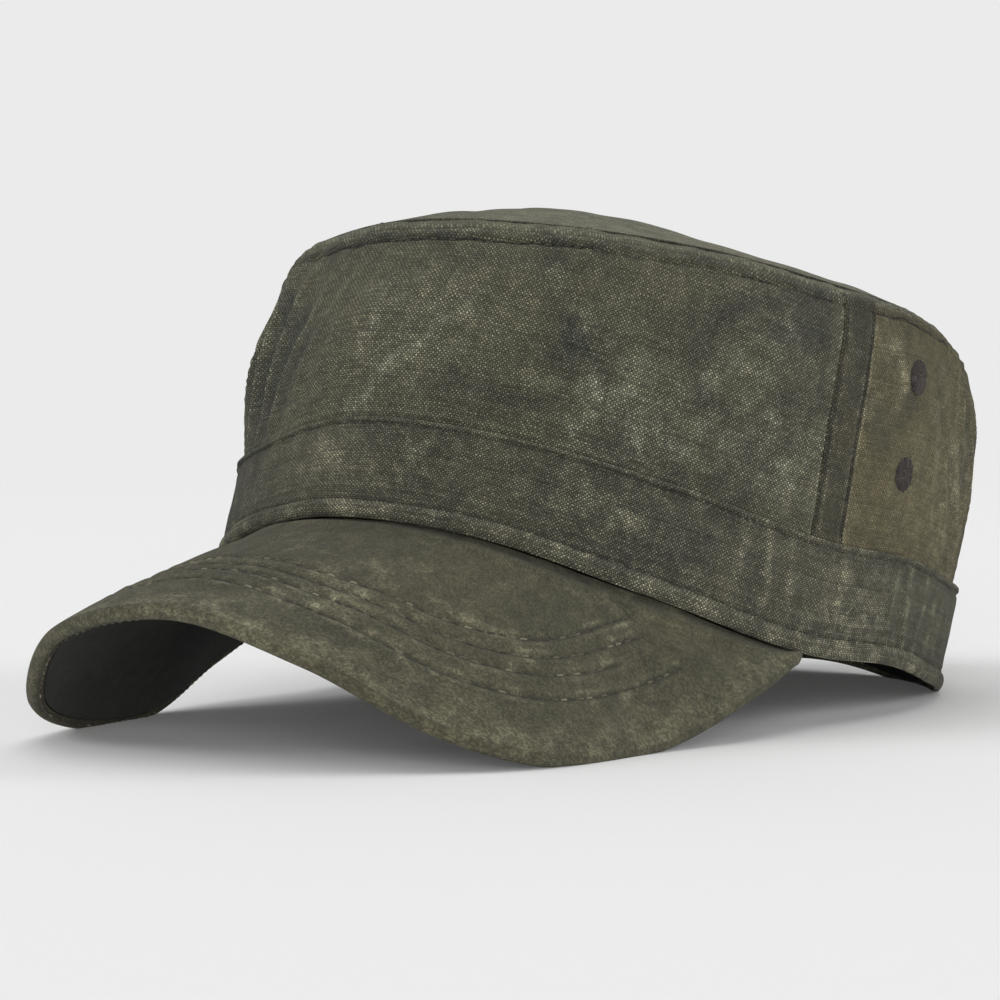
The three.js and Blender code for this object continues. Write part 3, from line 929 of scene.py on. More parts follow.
@dataclass
class Crown:
    """The crown: front and back panels, two side seams and the top panel."""

    form: CapForm
    step: float = 0.55

    def strip(self, name: str, start: float, end: float, proud: float, step: float) -> bpy.types.Object:
        """A closed strip of the wall between two angles, from behind the band to the ridge of the top seam.

        Args:
            name: the piece's name.
            start: first angle.
            end: last angle.
            proud: how far it stands out of the crown's face, in mm.
            step: degrees between sections.

        Returns:
            The new object.
        """
        form, sizes = self.form, self.form.sizes
        levels = crown_levels(1 - sizes.crown_tuck / sizes.band_height, Level.SEAM)
        angles = np.linspace(start, end, int(abs(end - start) / step) + 2)
        grid, rows = np.meshgrid(angles, levels, indexing="ij")
        relief, rub, shade = CrownRelief(form).at(grid, rows)
        edge = np.minimum(grid - angles[0], angles[-1] - grid) * 1.6
        standing = proud * between(Level.BAND_TOP - 0.05, Level.BAND_TOP, rows) * between(-0.1, 0.5, edge)
        if proud:
            astray = edge - 1.2 - 0.3 * drift(np.stack([rows * 3, grid * 0.2, 0 * rows], -1), 1.0, 7.1)
            relief -= 0.35 * bell(astray, 0.5) * (rows < 2.97)
            # Painted shade: dark lines in the grooves along the stitch rows.
            shade = np.maximum(shade, 1.25 * bell(astray, 0.28) * (rows < 2.97))
        outer = form.wall(grid, rows, standing, relief)
        inner = form.wall(grid, rows, -sizes.crown_cloth)
        loops = np.concatenate([outer, inner[:, ::-1]], 1)
        flat = form.smooth_wall(grid, rows)
        climb = np.cumsum(np.linalg.norm(np.diff(flat, axis=1), axis=-1), 1)
        climb = np.concatenate([0 * climb[:, :1], climb], 1)
        lay = np.stack([form.arc_of(grid), climb], -1)
        lay = np.concatenate([lay, lay[:, ::-1]], 1)
        cloth = Cloth()
        faces = loop_faces(len(angles), 2 * len(levels), False)
        rub = np.maximum(rub, 0.6 * bell(edge - (1.8 if proud else 0.8), 0.7) * (rows < 2.95))
        cloth.add(loops, faces, lay, mirrored(rub), mirrored(shade))
        return cloth.make(name)

    def top(self) -> bpy.types.Object:
        """The top panel, from the ridge of the seam to the middle of the dome."""
        form, sizes = self.form, self.form.sizes
        angles = np.arange(0.0, 360.0, self.step)
        levels = np.linspace(Level.SEAM, Level.TOP_STITCH, 15)
        grid, rows = np.meshgrid(angles, levels, indexing="ij")
        relief, rub, shade = CrownRelief(form).at(grid, rows)
        edge = form.wall(grid, rows, 0.0, relief)
        under = form.wall(grid, rows, -sizes.crown_cloth)
        corners = form.smooth_wall(np.array([0.0, 90.0, 180.0, 270.0]), np.full(4, Level.TOP_STITCH))
        middle = corners.mean(0) + form.shift
        shares = np.concatenate([np.linspace(0.996, 0.9, 14), np.linspace(0.875, 0.0005, 42)])
        rim = form.smooth_wall(angles, np.full_like(angles, Level.TOP_STITCH)) + form.shift
        dome = middle + (rim[:, None] - middle) * shares[None, :, None]
        lift = sizes.dome_height * (1 - shares**2)
        sway = 0.9 * drift(dome, 38.0, 2.2) + 0.3 * drift(dome, 12.0, 4.4)
        dome[..., 2] += lift[None] + sway * between(1.0, 0.85, shares)[None]
        dome_under = dome - [0, 0, sizes.crown_cloth]
        outer = np.concatenate([edge, dome], 1)
        inner = np.concatenate([under, dome_under], 1)
        loops = np.concatenate([outer, inner[:, ::-1]], 1)
        lay = outer[..., :2]
        lay = np.concatenate([lay, lay[:, ::-1]], 1)
        groove = (1 - shares)[None] * np.linalg.norm(rim - middle, axis=-1)[:, None]
        dome[..., 2] -= 0.5 * bell(groove, 1.2)
        rub = np.concatenate([rub, 0.25 + 0 * groove], 1)
        # Painted shade: a dark line in the groove where the dome meets the seam.
        shade = np.concatenate([shade, 1.6 * bell(groove, 0.6)], 1)
        cloth = Cloth()
        size = loops.shape[1]
        cloth.add(loops, loop_faces(len(angles), size, True), lay, mirrored(rub), mirrored(shade))
        return cloth.make("top_panel_cloth")

    def build(self, finishes: "Finishes") -> None:
        """Makes and dresses the crown's pieces."""
        sizes = self.form.sizes
        width = RINGS[1].width * sizes.rim_width
        half = math.degrees(sizes.side_seam_width / width)
        tuck = half - math.degrees(1.2 / width)
        seam = sizes.side_seam_angle
        front = self.strip("front_panel_cloth", -seam + tuck, seam - tuck, 0.0, self.step)
        place_piece(front, finishes.crown, Slot.CROWN, "front_panel")
        back = self.strip("back_panel_cloth", seam + tuck, 360 - seam - tuck, 0.0, self.step)
        place_piece(back, finishes.crown_back, Slot.CROWN_BACK, "back_panel")
        for side, sign in (("left", 1), ("right", -1)):
            middle = sign * seam
            strip = self.strip(f"side_seam_{side}_cloth", middle - half, middle + half, sizes.side_seam_proud, 0.14)
            place_piece(strip, finishes.seam, Slot.CROWN, f"side_seam_{side}")
        place_piece(self.top(), finishes.top, Slot.CROWN, "top_panel")


@dataclass
class Band:
    """The hatband with its rolled hem and folded top edge, and the dark band inside."""

    form: CapForm
    step: float = 0.6
    droop: float = 0.75

    def profile(self, up: Array) -> Array:
        """How far the band's outer face stands out at a height along it, in mm."""
        sizes = self.form.sizes
        hem_share = (up + self.droop) / (sizes.hem_height + self.droop)
        hem = 1.15 * sizes.hem_proud * np.clip(1 - np.abs(2 * hem_share - 1) ** 2.4, 0, 1)
        fold_from = sizes.band_height - sizes.fold_height
        fold = sizes.fold_proud * np.clip(1 - np.abs(2 * (up - fold_from) / sizes.fold_height - 1) ** 3, 0, 1)
        out = sizes.gap + sizes.band_cloth + np.where(up < sizes.hem_height, hem, 0) + np.where(up > fold_from, fold, 0)
        out = out - 0.35 * bell(up - sizes.hem_height - 0.35, 0.5)
        return out - 0.3 * bell(up - fold_from + 0.3, 0.5)

    def build(self, finishes: "Finishes") -> None:
        """Makes and dresses the band and the sweatband."""
        place_piece(self.band(), finishes.band, Slot.BAND, "hatband")
        place_piece(self.sweatband(), finishes.tape, Slot.TAPE, "sweatband")

    def ring(self, name: str, ups: Array, outer: Array, inner: float, rub: Array, shade: Array) -> bpy.types.Object:
        """A closed ring of cloth round the rim.

        Args:
            name: the piece's name.
            ups: heights above the rim along the cloth.
            outer: how far the outer face stands out, angles first.
            inner: how far the inner face stands out.
            rub: how rubbed the outer face is.
            shade: how dark it is, from stains and from painted shade in the band's creases.

        Returns:
            The new object.
        """
        form = self.form
        angles = np.arange(0.0, 360.0, 360.0 / outer.shape[0])
        grid, rows = np.meshgrid(angles, ups / form.sizes.band_height, indexing="ij")
        face = form.wall(grid, np.maximum(rows, 0.0), outer)
        back = form.wall(grid, np.maximum(rows, 0.0), np.full_like(grid, inner))
        for points in (face, back):
            points[..., 2] = np.maximum(points[..., 2] + np.minimum(ups, 0.0), 0.0)
        loops = np.concatenate([face, back[:, ::-1]], 1)
        lay = np.stack([form.arc_of(half_turned(grid)), np.broadcast_to(ups, grid.shape)], -1)
        lay = np.concatenate([lay, lay[:, ::-1]], 1)
        cloth = Cloth()
        cloth.add(loops, loop_faces(len(angles), loops.shape[1], True), lay, mirrored(rub), mirrored(shade))
        return cloth.make(name)

    def band(self) -> bpy.types.Object:
        """The outer band."""
        form, sizes = self.form, self.form.sizes
        low = np.linspace(-self.droop, sizes.hem_height + 1.2, 20)
        high = np.linspace(sizes.band_height - sizes.fold_height - 1.4, sizes.band_height, 16)
        ups = np.concatenate([low, np.linspace(low[-1], high[0], 17)[1:-1], high])
        angles = np.arange(0.0, 360.0, self.step)
        grid, rows = np.meshgrid(angles, ups, indexing="ij")
        turned = half_turned(grid)
        place = form.smooth_wall(grid, rows / sizes.band_height)
        free = between(0.0, 6.0, rows) * (1 - between(sizes.band_height - 5, sizes.band_height, rows))
        relief = 0.3 * drift(place, 18.0, 9.3) * (0.3 + 0.7 * free) + 0.1 * drift(place, 6.0, 1.9)
        rub = np.zeros_like(relief)
        sway = 1.1 * drift(place, 14.0, 8.8)
        for row in BAND_RIPPLES:
            window = bell(half_turned(turned - row.angle), row.wide)
            window = window * bell(rows / sizes.band_height - row.level, row.tall)
            wave = np.cos(2 * math.pi * (turned - row.angle + sway) / row.pitch)
            relief += row.height * wave * window * free
            rub = np.maximum(rub, row.rub * window * np.clip(wave, 0, 1) ** 3)
        worn = 0.7 + 0.5 * drift(place, 7.0, 4.1)
        for patch in BAND_PATCHES:
            spot = bell(half_turned(turned - patch.angle), patch.wide)
            rub = np.maximum(rub, patch.strength * spot * bell(rows / sizes.band_height - patch.level, patch.tall))
        edge = 0.6 * (rows < sizes.hem_height) + 0.6 * bell(rows - sizes.band_height, 0.9)
        rub = np.maximum(rub, edge * worn)
        # Painted shade: dark lines in the creases above the hem and under the top fold.
        shade = 0.9 * bell(rows - sizes.hem_height - 0.35, 0.35)
        shade += 0.9 * bell(rows - sizes.band_height + sizes.fold_height + 0.3, 0.3)
        return self.ring("hatband_cloth", ups, self.profile(rows) + relief, sizes.gap, rub, shade)

    def sweatband(self) -> bpy.types.Object:
        """The dark band inside the rim."""
        sizes = self.form.sizes
        outer = -sizes.crown_cloth - sizes.gap
        ups = sizes.sweatband_raise + np.linspace(0, 1, 22) * sizes.sweatband_height
        angles = np.arange(0.0, 360.0, 1.2)
        grid = np.zeros((len(angles), len(ups)))
        return self.ring("sweatband_tape", ups, grid + outer, outer - sizes.sweatband_cloth, grid, grid)


@dataclass
class Peak:
    """The peak: an upper cloth that rolls round the outer edge, and a dark cloth under it whose darkness is partly
    painted shade.
    """

    form: CapForm
    sections: int = 300

    def shares(self, count: int) -> Array:
        """Places of the sections, from the wearer's left end to the right."""
        return self.form.sizes.peak_end_share * np.linspace(1, -1, count)

    def build(self, finishes: "Finishes") -> None:
        """Makes and dresses both cloths."""
        place_piece(self.upper(), finishes.peak, Slot.PEAK, "peak_top")
        place_piece(self.lower(), finishes.peak_under, Slot.PEAK_UNDER, "peak_under")

    def relief(self, share: Array, back: Array, length: Array) -> tuple[Array, Array, Array]:
        """Fine relief of the upper face.

        Args:
            share: places along the peak.
            back: distances back from the outer edge in mm.
            length: length of the section at each place.

        Returns:
            How far the face stands up in mm, and how rubbed and how dark it is.
        """
        form = self.form
        place = form.peak(share, back, np.zeros_like(back))
        height = 0.22 * drift(place, 22.0, 4.7) + 0.1 * drift(place, 8.0, 1.1)
        height += 0.8 * bell(length - back - 4.6, 2.0)
        rub = np.zeros_like(height)
        # Painted shade, darker towards the root under the band's hem.
        shade = 0.25 * bell(length - back, 5.0)
        lumps = drift(place, 4.5, 3.3)
        for row in PEAK_ROWS:
            away = back - row.back(share)
            here = 1 - between(row.reach, row.reach + 0.01, np.abs(share))
            height -= 0.42 * bell(away, 0.8) * here
            height += 0.12 * bell(np.abs(away) - 1.9, 1.0) * (0.5 + lumps) * here
            # Painted shade in the grooves of the sewn rows.
            shade = np.maximum(shade, 1.15 * bell(away, 0.55) * here)
            rub = np.maximum(rub, 0.45 * bell(np.abs(away) - 1.5, 0.6) * (0.3 + lumps) * here)
        for crease in PEAK_CREASES:
            distance, strength = self.segment(crease, share, back)
            height += crease.height * bell(distance + lumps, crease.width) * strength
            rub = np.maximum(rub, crease.rub * bell(distance + lumps, 1.3 * crease.width) * strength)
        # Lighter over the last 14 mm to the outer edge: partly a worn edge, partly a painted highlight where the peak
        # curves.
        rub = np.maximum(rub, 0.42 * (1 - between(1.0, 14.0, back)))
        return height, rub, shade

    def segment(self, crease: Crease, share: Array, back: Array) -> tuple[Array, Array]:
        """Distance of each place from a crease in mm, and how strong the crease is there."""
        mm = 1.25 * self.form.sizes.rim_width
        way = np.array([(crease.end[0] - crease.start[0]) * mm, crease.end[1] - crease.start[1]])
        along, up = (share - crease.start[0]) * mm, back - crease.start[1]
        length = float(np.hypot(*way))
        part = (along * way[0] + up * way[1]) / length**2
        distance = (up * way[0] - along * way[1]) / length - crease.bow * 4 * part * (1 - part)
        return distance, between(-0.15, 0.25, part) * (1 - between(0.75, 1.15, part))

    def lay(self, loops: Array, middle: int) -> Array:
        """Cloth coordinates along the peak and across it, in mm."""
        along = np.linalg.norm(np.diff(loops[:, middle], axis=0), axis=-1)
        along = np.concatenate([[0.0], np.cumsum(along)])
        across = np.linalg.norm(np.diff(loops, axis=1), axis=-1)
        across = np.concatenate([np.zeros((len(loops), 1)), np.cumsum(across, 1)], 1)
        return np.stack([np.broadcast_to(along[:, None], across.shape), across], -1)

    def upper(self) -> bpy.types.Object:
        """The upper cloth with its rolled edge."""
        form, sizes = self.form, self.form.sizes
        whole = form.peak_depth
        share = self.shares(self.sections)
        length = form.peak_frame(share)[3]
        lip = np.minimum(sizes.roll_width, length / 2)
        run = np.linspace(1, 0, 104)
        back = lip[:, None] * 0.55 + (length - lip * 0.55)[:, None] * run
        side = np.broadcast_to(share[:, None], back.shape)
        height, rub, shade = self.relief(side, back, length[:, None])
        top = form.peak(side, back, -height)
        turns = np.linspace(0, math.pi, 13)[1:-1]
        reach = lip[:, None] * 0.55 * (1 - np.sin(turns)) ** 1.4
        deep = whole * (1 - np.cos(turns)) / 2 + np.zeros_like(reach)
        nose = form.peak(np.broadcast_to(share[:, None], reach.shape), reach, deep)
        under = form.peak(share[:, None], lip[:, None], np.full((len(share), 1), whole - 0.15))
        inner = form.peak(side, back[:, ::-1], np.full_like(back, sizes.peak_top_cloth))
        loops = np.concatenate([top, nose, under, inner], 1)
        rest = loops.shape[1] - rub.shape[1]
        edge = np.zeros((len(share), rest))
        edge[:, : turns.size] = 0.25 * np.sin(turns)
        cloth = Cloth()
        lay = self.lay(loops, run.size // 2)
        marks = [np.concatenate([rub, edge], 1), np.concatenate([shade, 0 * edge], 1)]
        cloth.add(loops, loop_faces(len(share), loops.shape[1], False), lay, *marks)
        return cloth.make("peak_top_cloth")

    def lower(self) -> bpy.types.Object:
        """The under cloth, behind the rolled edge."""
        form, sizes = self.form, self.form.sizes
        share = self.shares(self.sections // 2)
        length = form.peak_frame(share)[3]
        lip = np.minimum(sizes.roll_width, length / 2)
        back = (lip + sizes.gap)[:, None] + (length - lip - sizes.gap)[:, None] * np.linspace(1, 0, 24)
        side = np.broadcast_to(share[:, None], back.shape)
        top = sizes.peak_top_cloth + sizes.gap
        upper = form.peak(side, back, np.full_like(back, top))
        lower = form.peak(side, back, np.full_like(back, top + sizes.peak_under_cloth))
        loops = np.concatenate([upper, lower[:, ::-1]], 1)
        flat = np.zeros(loops.shape[:2])
        cloth = Cloth()
        cloth.add(loops, loop_faces(len(share), loops.shape[1], False), self.lay(loops, 12), flat, flat)
        return cloth.make("peak_under_cloth")


@dataclass
class Sewing:
    """All rows of stitches that show."""

    form: CapForm
    row: SewnRow = SewnRow()
    side_rows: float = 7.4

    def wall_row(self, cloth: Cloth, level: float, out: float, seed: int) -> None:
        """A ring of stitches round the wall.

        Args:
            cloth: the mesh that takes them.
            level: level up the wall.
            out: how far the cloth's face stands out there, in mm.
            seed: for the small differences between stitches.
        """
        form = self.form
        angles = np.arange(0.0, 360.0, 0.5)
        levels = np.full_like(angles, level)
        relief = 0.0
        if level > Level.BAND_TOP:
            if level == Level.STITCH:
                levels = form.level_at(form.height_of(levels) + CrownRelief(form).wander(angles))
            relief = CrownRelief(form).at(angles, levels)[0]
        line = form.wall(angles, levels, out, relief)
        self.row.sew(cloth, line, form.outward(angles, levels), True, seed)

    def build(self, finishes: "Finishes") -> None:
        """Sews the top seam, the band, the side seams and the peak."""
        form, sizes = self.form, self.form.sizes
        band = Band(form)
        top = Cloth()
        self.wall_row(top, Level.STITCH, 0.0, 11)
        self.wall_row(top, Level.TOP_STITCH, 0.0, 12)
        place_piece(top.make("top_seam_stitches"), finishes.thread, Slot.THREAD)
        rows = Cloth()
        for number, up in enumerate((sizes.hem_height + 0.4, sizes.band_height - sizes.fold_height - 0.3)):
            out = float(band.profile(np.array([up]))[0])
            self.wall_row(rows, up / sizes.band_height, out, 20 + number)
        place_piece(rows.make("hatband_stitches"), finishes.thread, Slot.THREAD)
        self.side_seams(finishes)
        self.peak_rows(finishes)

    def side_seams(self, finishes: "Finishes") -> None:
        """Two rows on each side seam."""
        form, sizes = self.form, self.form.sizes
        width = RINGS[1].width * sizes.rim_width
        apart = math.degrees(self.side_rows / width)
        seams = Cloth()
        for number, sign in enumerate((1, -1)):
            for row, offset in enumerate((-apart, apart)):
                levels = np.linspace(1.02, 2.98, 120)
                angles = np.full_like(levels, sign * sizes.side_seam_angle + offset)
                relief = CrownRelief(form).at(angles, levels)[0]
                line = form.wall(angles, levels, sizes.side_seam_proud, relief)
                self.row.sew(seams, line, form.outward(angles, levels), False, 30 + 2 * number + row)
        place_piece(seams.make("side_seam_stitches"), finishes.thread, Slot.THREAD)

    def peak_rows(self, finishes: "Finishes") -> None:
        """Four rows over the peak."""
        form = self.form
        cloth = Cloth()
        row = SewnRow(pitch=2.7, shown=0.74, thick=0.46)
        for number, place in enumerate(PEAK_ROWS):
            share = np.linspace(-place.reach, place.reach, 400)
            self.peak_row(cloth, row, share, place.back(share), 40 + number)
        share = np.linspace(-0.93, 0.93, 600)
        _, _, up, length = form.peak_frame(share)
        back = 0.62 * np.minimum(form.sizes.roll_width, length / 2)
        line = form.peak(share, back, form.peak_depth + 0.02 + 0 * back)
        replace(self.row, thick=0.45, shown=0.7).sew(cloth, line, -up, False, 50)
        place_piece(cloth.make("peak_stitches"), finishes.peak_thread, Slot.THREAD)

    def peak_row(self, cloth: Cloth, row: SewnRow, share: Array, back: Array, seed: int) -> None:
        """A row of stitches on the peak.

        Args:
            cloth: the mesh that takes them.
            row: the kind of stitch.
            share: places along the peak.
            back: distance back from the outer edge at each place, in mm.
            seed: for the small differences between stitches.
        """
        _, _, up, length = self.form.peak_frame(share)
        height = Peak(self.form).relief(share, back, length)[0]
        row.sew(cloth, self.form.peak(share, back, -height), up, False, seed)


@dataclass
class Eyelets:
    """Sewn eyelets: threads that run from the cloth into a small hole, with a dark disc of painted shade in the hole.
    """

    form: CapForm
    threads: int = 46
    sides: int = 5

    def build(self, finishes: "Finishes") -> None:
        """Makes and dresses the four eyelets."""
        for side, sign in (("left", 1), ("right", -1)):
            for place, angle, level in (("upper", 91.0, 2.49), ("lower", 90.5, 1.7)):
                name = f"eyelet_{side}_{place}"
                place_piece(self.eyelet(f"{name}_thread", sign * angle, level), finishes.eyelet, Slot.THREAD, name)

    def eyelet(self, name: str, angle: float, level: float) -> bpy.types.Object:
        """One eyelet on the wall.

        Args:
            name: the piece's name.
            angle: degrees round the cap.
            level: level up the wall.

        Returns:
            The new object.
        """
        form, sizes = self.form, self.form.sizes
        at, up = np.array([angle]), np.array([level])
        relief = CrownRelief(form).at(at, up)[0]
        middle = form.wall(at, up, 0.0, relief)[0]
        out = form.outward(at, up)[0]
        tall = unit(form.smooth_wall(at, up + 0.02)[0] - form.smooth_wall(at, up - 0.02)[0])
        wide = np.cross(tall, out)
        radius, hole = sizes.eyelet_radius, sizes.eyelet_hole_radius
        chance = np.random.default_rng(int(abs(angle) * 10 + level * 100 + (angle > 0)))
        cloth = Cloth()
        share = np.linspace(0, 1, 8)
        for number in range(self.threads):
            turn = 2 * math.pi * (number + chance.uniform(-0.15, 0.15)) / self.threads
            away = wide * math.cos(turn) + tall * math.sin(turn)
            reach = radius * chance.uniform(0.93, 1.03)
            distance = reach + (hole - reach) * share
            height = 0.3 * np.sin(np.pi * share) ** 0.5 - 0.15 - 0.6 * between(0.86, 1.0, share)
            line = middle + distance[:, None] * away + height[:, None] * out
            thick = 0.27 * (0.5 + 0.5 * distance / radius)
            self.tube(cloth, line, thick, chance.uniform(0, 1))
        # Painted shade: a dark disc in the hole stands for the shade inside the cap.
        plug = middle + np.array([-0.5, 0.05, 0.12])[:, None] * out
        self.tube(cloth, plug, hole * np.array([1.3, 1.2, 0.05]), -0.5)
        return cloth.make(name)

    def tube(self, cloth: Cloth, line: Array, thick: Array, tone: float) -> None:
        """Adds a thread along a line.

        Args:
            cloth: the mesh that takes it.
            line: points of its middle.
            thick: its radius at each point.
            tone: its own shade, from 0 to 1.
        """
        along = unit(np.gradient(line, axis=0))
        guess = np.cross(along, [0.3, 0.5, 0.81])
        side = unit(guess)
        other = np.cross(along, side)
        turn = np.arange(self.sides) * 2 * math.pi / self.sides
        ring = side[:, None] * np.cos(turn)[None, :, None] + other[:, None] * np.sin(turn)[None, :, None]
        points = line[:, None] + ring * thick[:, None, None]
        here = np.arange(self.sides)
        follow = (here + 1) % self.sides
        size = self.sides
        faces = np.concatenate(
            [
                np.stack([row * size + here, row * size + follow, (row + 1) * size + follow, (row + 1) * size + here], -1)
                for row in range(len(line) - 1)
            ]
        )
        count = len(line) * size
        cloth.add(points, faces, np.zeros((count, 2)), np.full(count, tone), np.zeros(count))


class Nodes:
    """Short ways to add shader nodes to one tree."""

    def __init__(self, tree: bpy.types.NodeTree) -> None:
        """Keeps the tree."""
        self.tree = tree

    def new(self, kind: str, **values: object) -> bpy.types.Node:
        """A node of a kind, with its properties set."""
        node = self.tree.nodes.new(kind)
        for name, value in values.items():
            setattr(node, name, value)
        return node

    def plug(self, source: object, socket: bpy.types.NodeSocket) -> None:
        """Links a socket, or sets a plain value."""
        if isinstance(source, bpy.types.NodeSocket):
            self.tree.links.new(source, socket)
        elif source is not None:
            socket.default_value = source

    def math(self, operation: str, first: object, second: object = None, third: object = None) -> bpy.types.NodeSocket:
        """Result of a Math node."""
        node = self.new("ShaderNodeMath", operation=operation)
        for socket, value in zip(node.inputs, (first, second, third)):
            self.plug(value, socket)
        return node.outputs[0]

    def ramp(self, value: object, low: float, high: float, to_low: float = 0.0, to_high: float = 1.0) -> bpy.types.NodeSocket:
        """Smooth step of a value."""
        node = self.new("ShaderNodeMapRange", interpolation_type="SMOOTHSTEP")
        self.plug(value, node.inputs["Value"])
        for name, number in (("From Min", low), ("From Max", high), ("To Min", to_low), ("To Max", to_high)):
            node.inputs[name].default_value = number
        return node.outputs["Result"]

    def mix(self, share: object, first: object, second: object, blend: str = "MIX") -> bpy.types.NodeSocket:
        """Mix of two colours."""
        node = self.new("ShaderNodeMix", data_type="RGBA", blend_type=blend)
        self.plug(share, node.inputs[0])
        self.plug(first, node.inputs[6])
        self.plug(second, node.inputs[7])
        return node.outputs[2]

    def noise(self, vector: object, scale: object, detail: float, rough: float, twist: float = 0.0) -> bpy.types.NodeSocket:
        """Noise from 0 to 1."""
        node = self.new("ShaderNodeTexNoise")
        self.plug(vector, node.inputs["Vector"])
        self.plug(scale, node.inputs["Scale"])
        node.inputs["Detail"].default_value = detail
        node.inputs["Roughness"].default_value = rough
        node.inputs["Distortion"].default_value = twist
        return node.outputs["Fac"]


def new_group(name: str, inputs: dict[str, tuple[str, float]], outputs: Sequence[str]) -> tuple[Nodes, dict, dict]:
    """A shader node group with named sockets.

    Args:
        name: the group's name.
        inputs: kind of socket and default for each input.
        outputs: names of its outputs, all numbers.

    Returns:
        The group's nodes, its inputs and its outputs by name.
    """
    tree = bpy.data.node_groups.new(name, "ShaderNodeTree")
    for label, (kind, value) in inputs.items():
        socket = tree.interface.new_socket(label, in_out="INPUT", socket_type=kind)
        if kind == "NodeSocketFloat":
            socket.default_value = value
    for label in outputs:
        tree.interface.new_socket(label, in_out="OUTPUT", socket_type="NodeSocketFloat")
    nodes = Nodes(tree)
    enter = nodes.new("NodeGroupInput")
    leave = nodes.new("NodeGroupOutput")
    return nodes, dict(enter.outputs.items()), dict(leave.inputs.items())


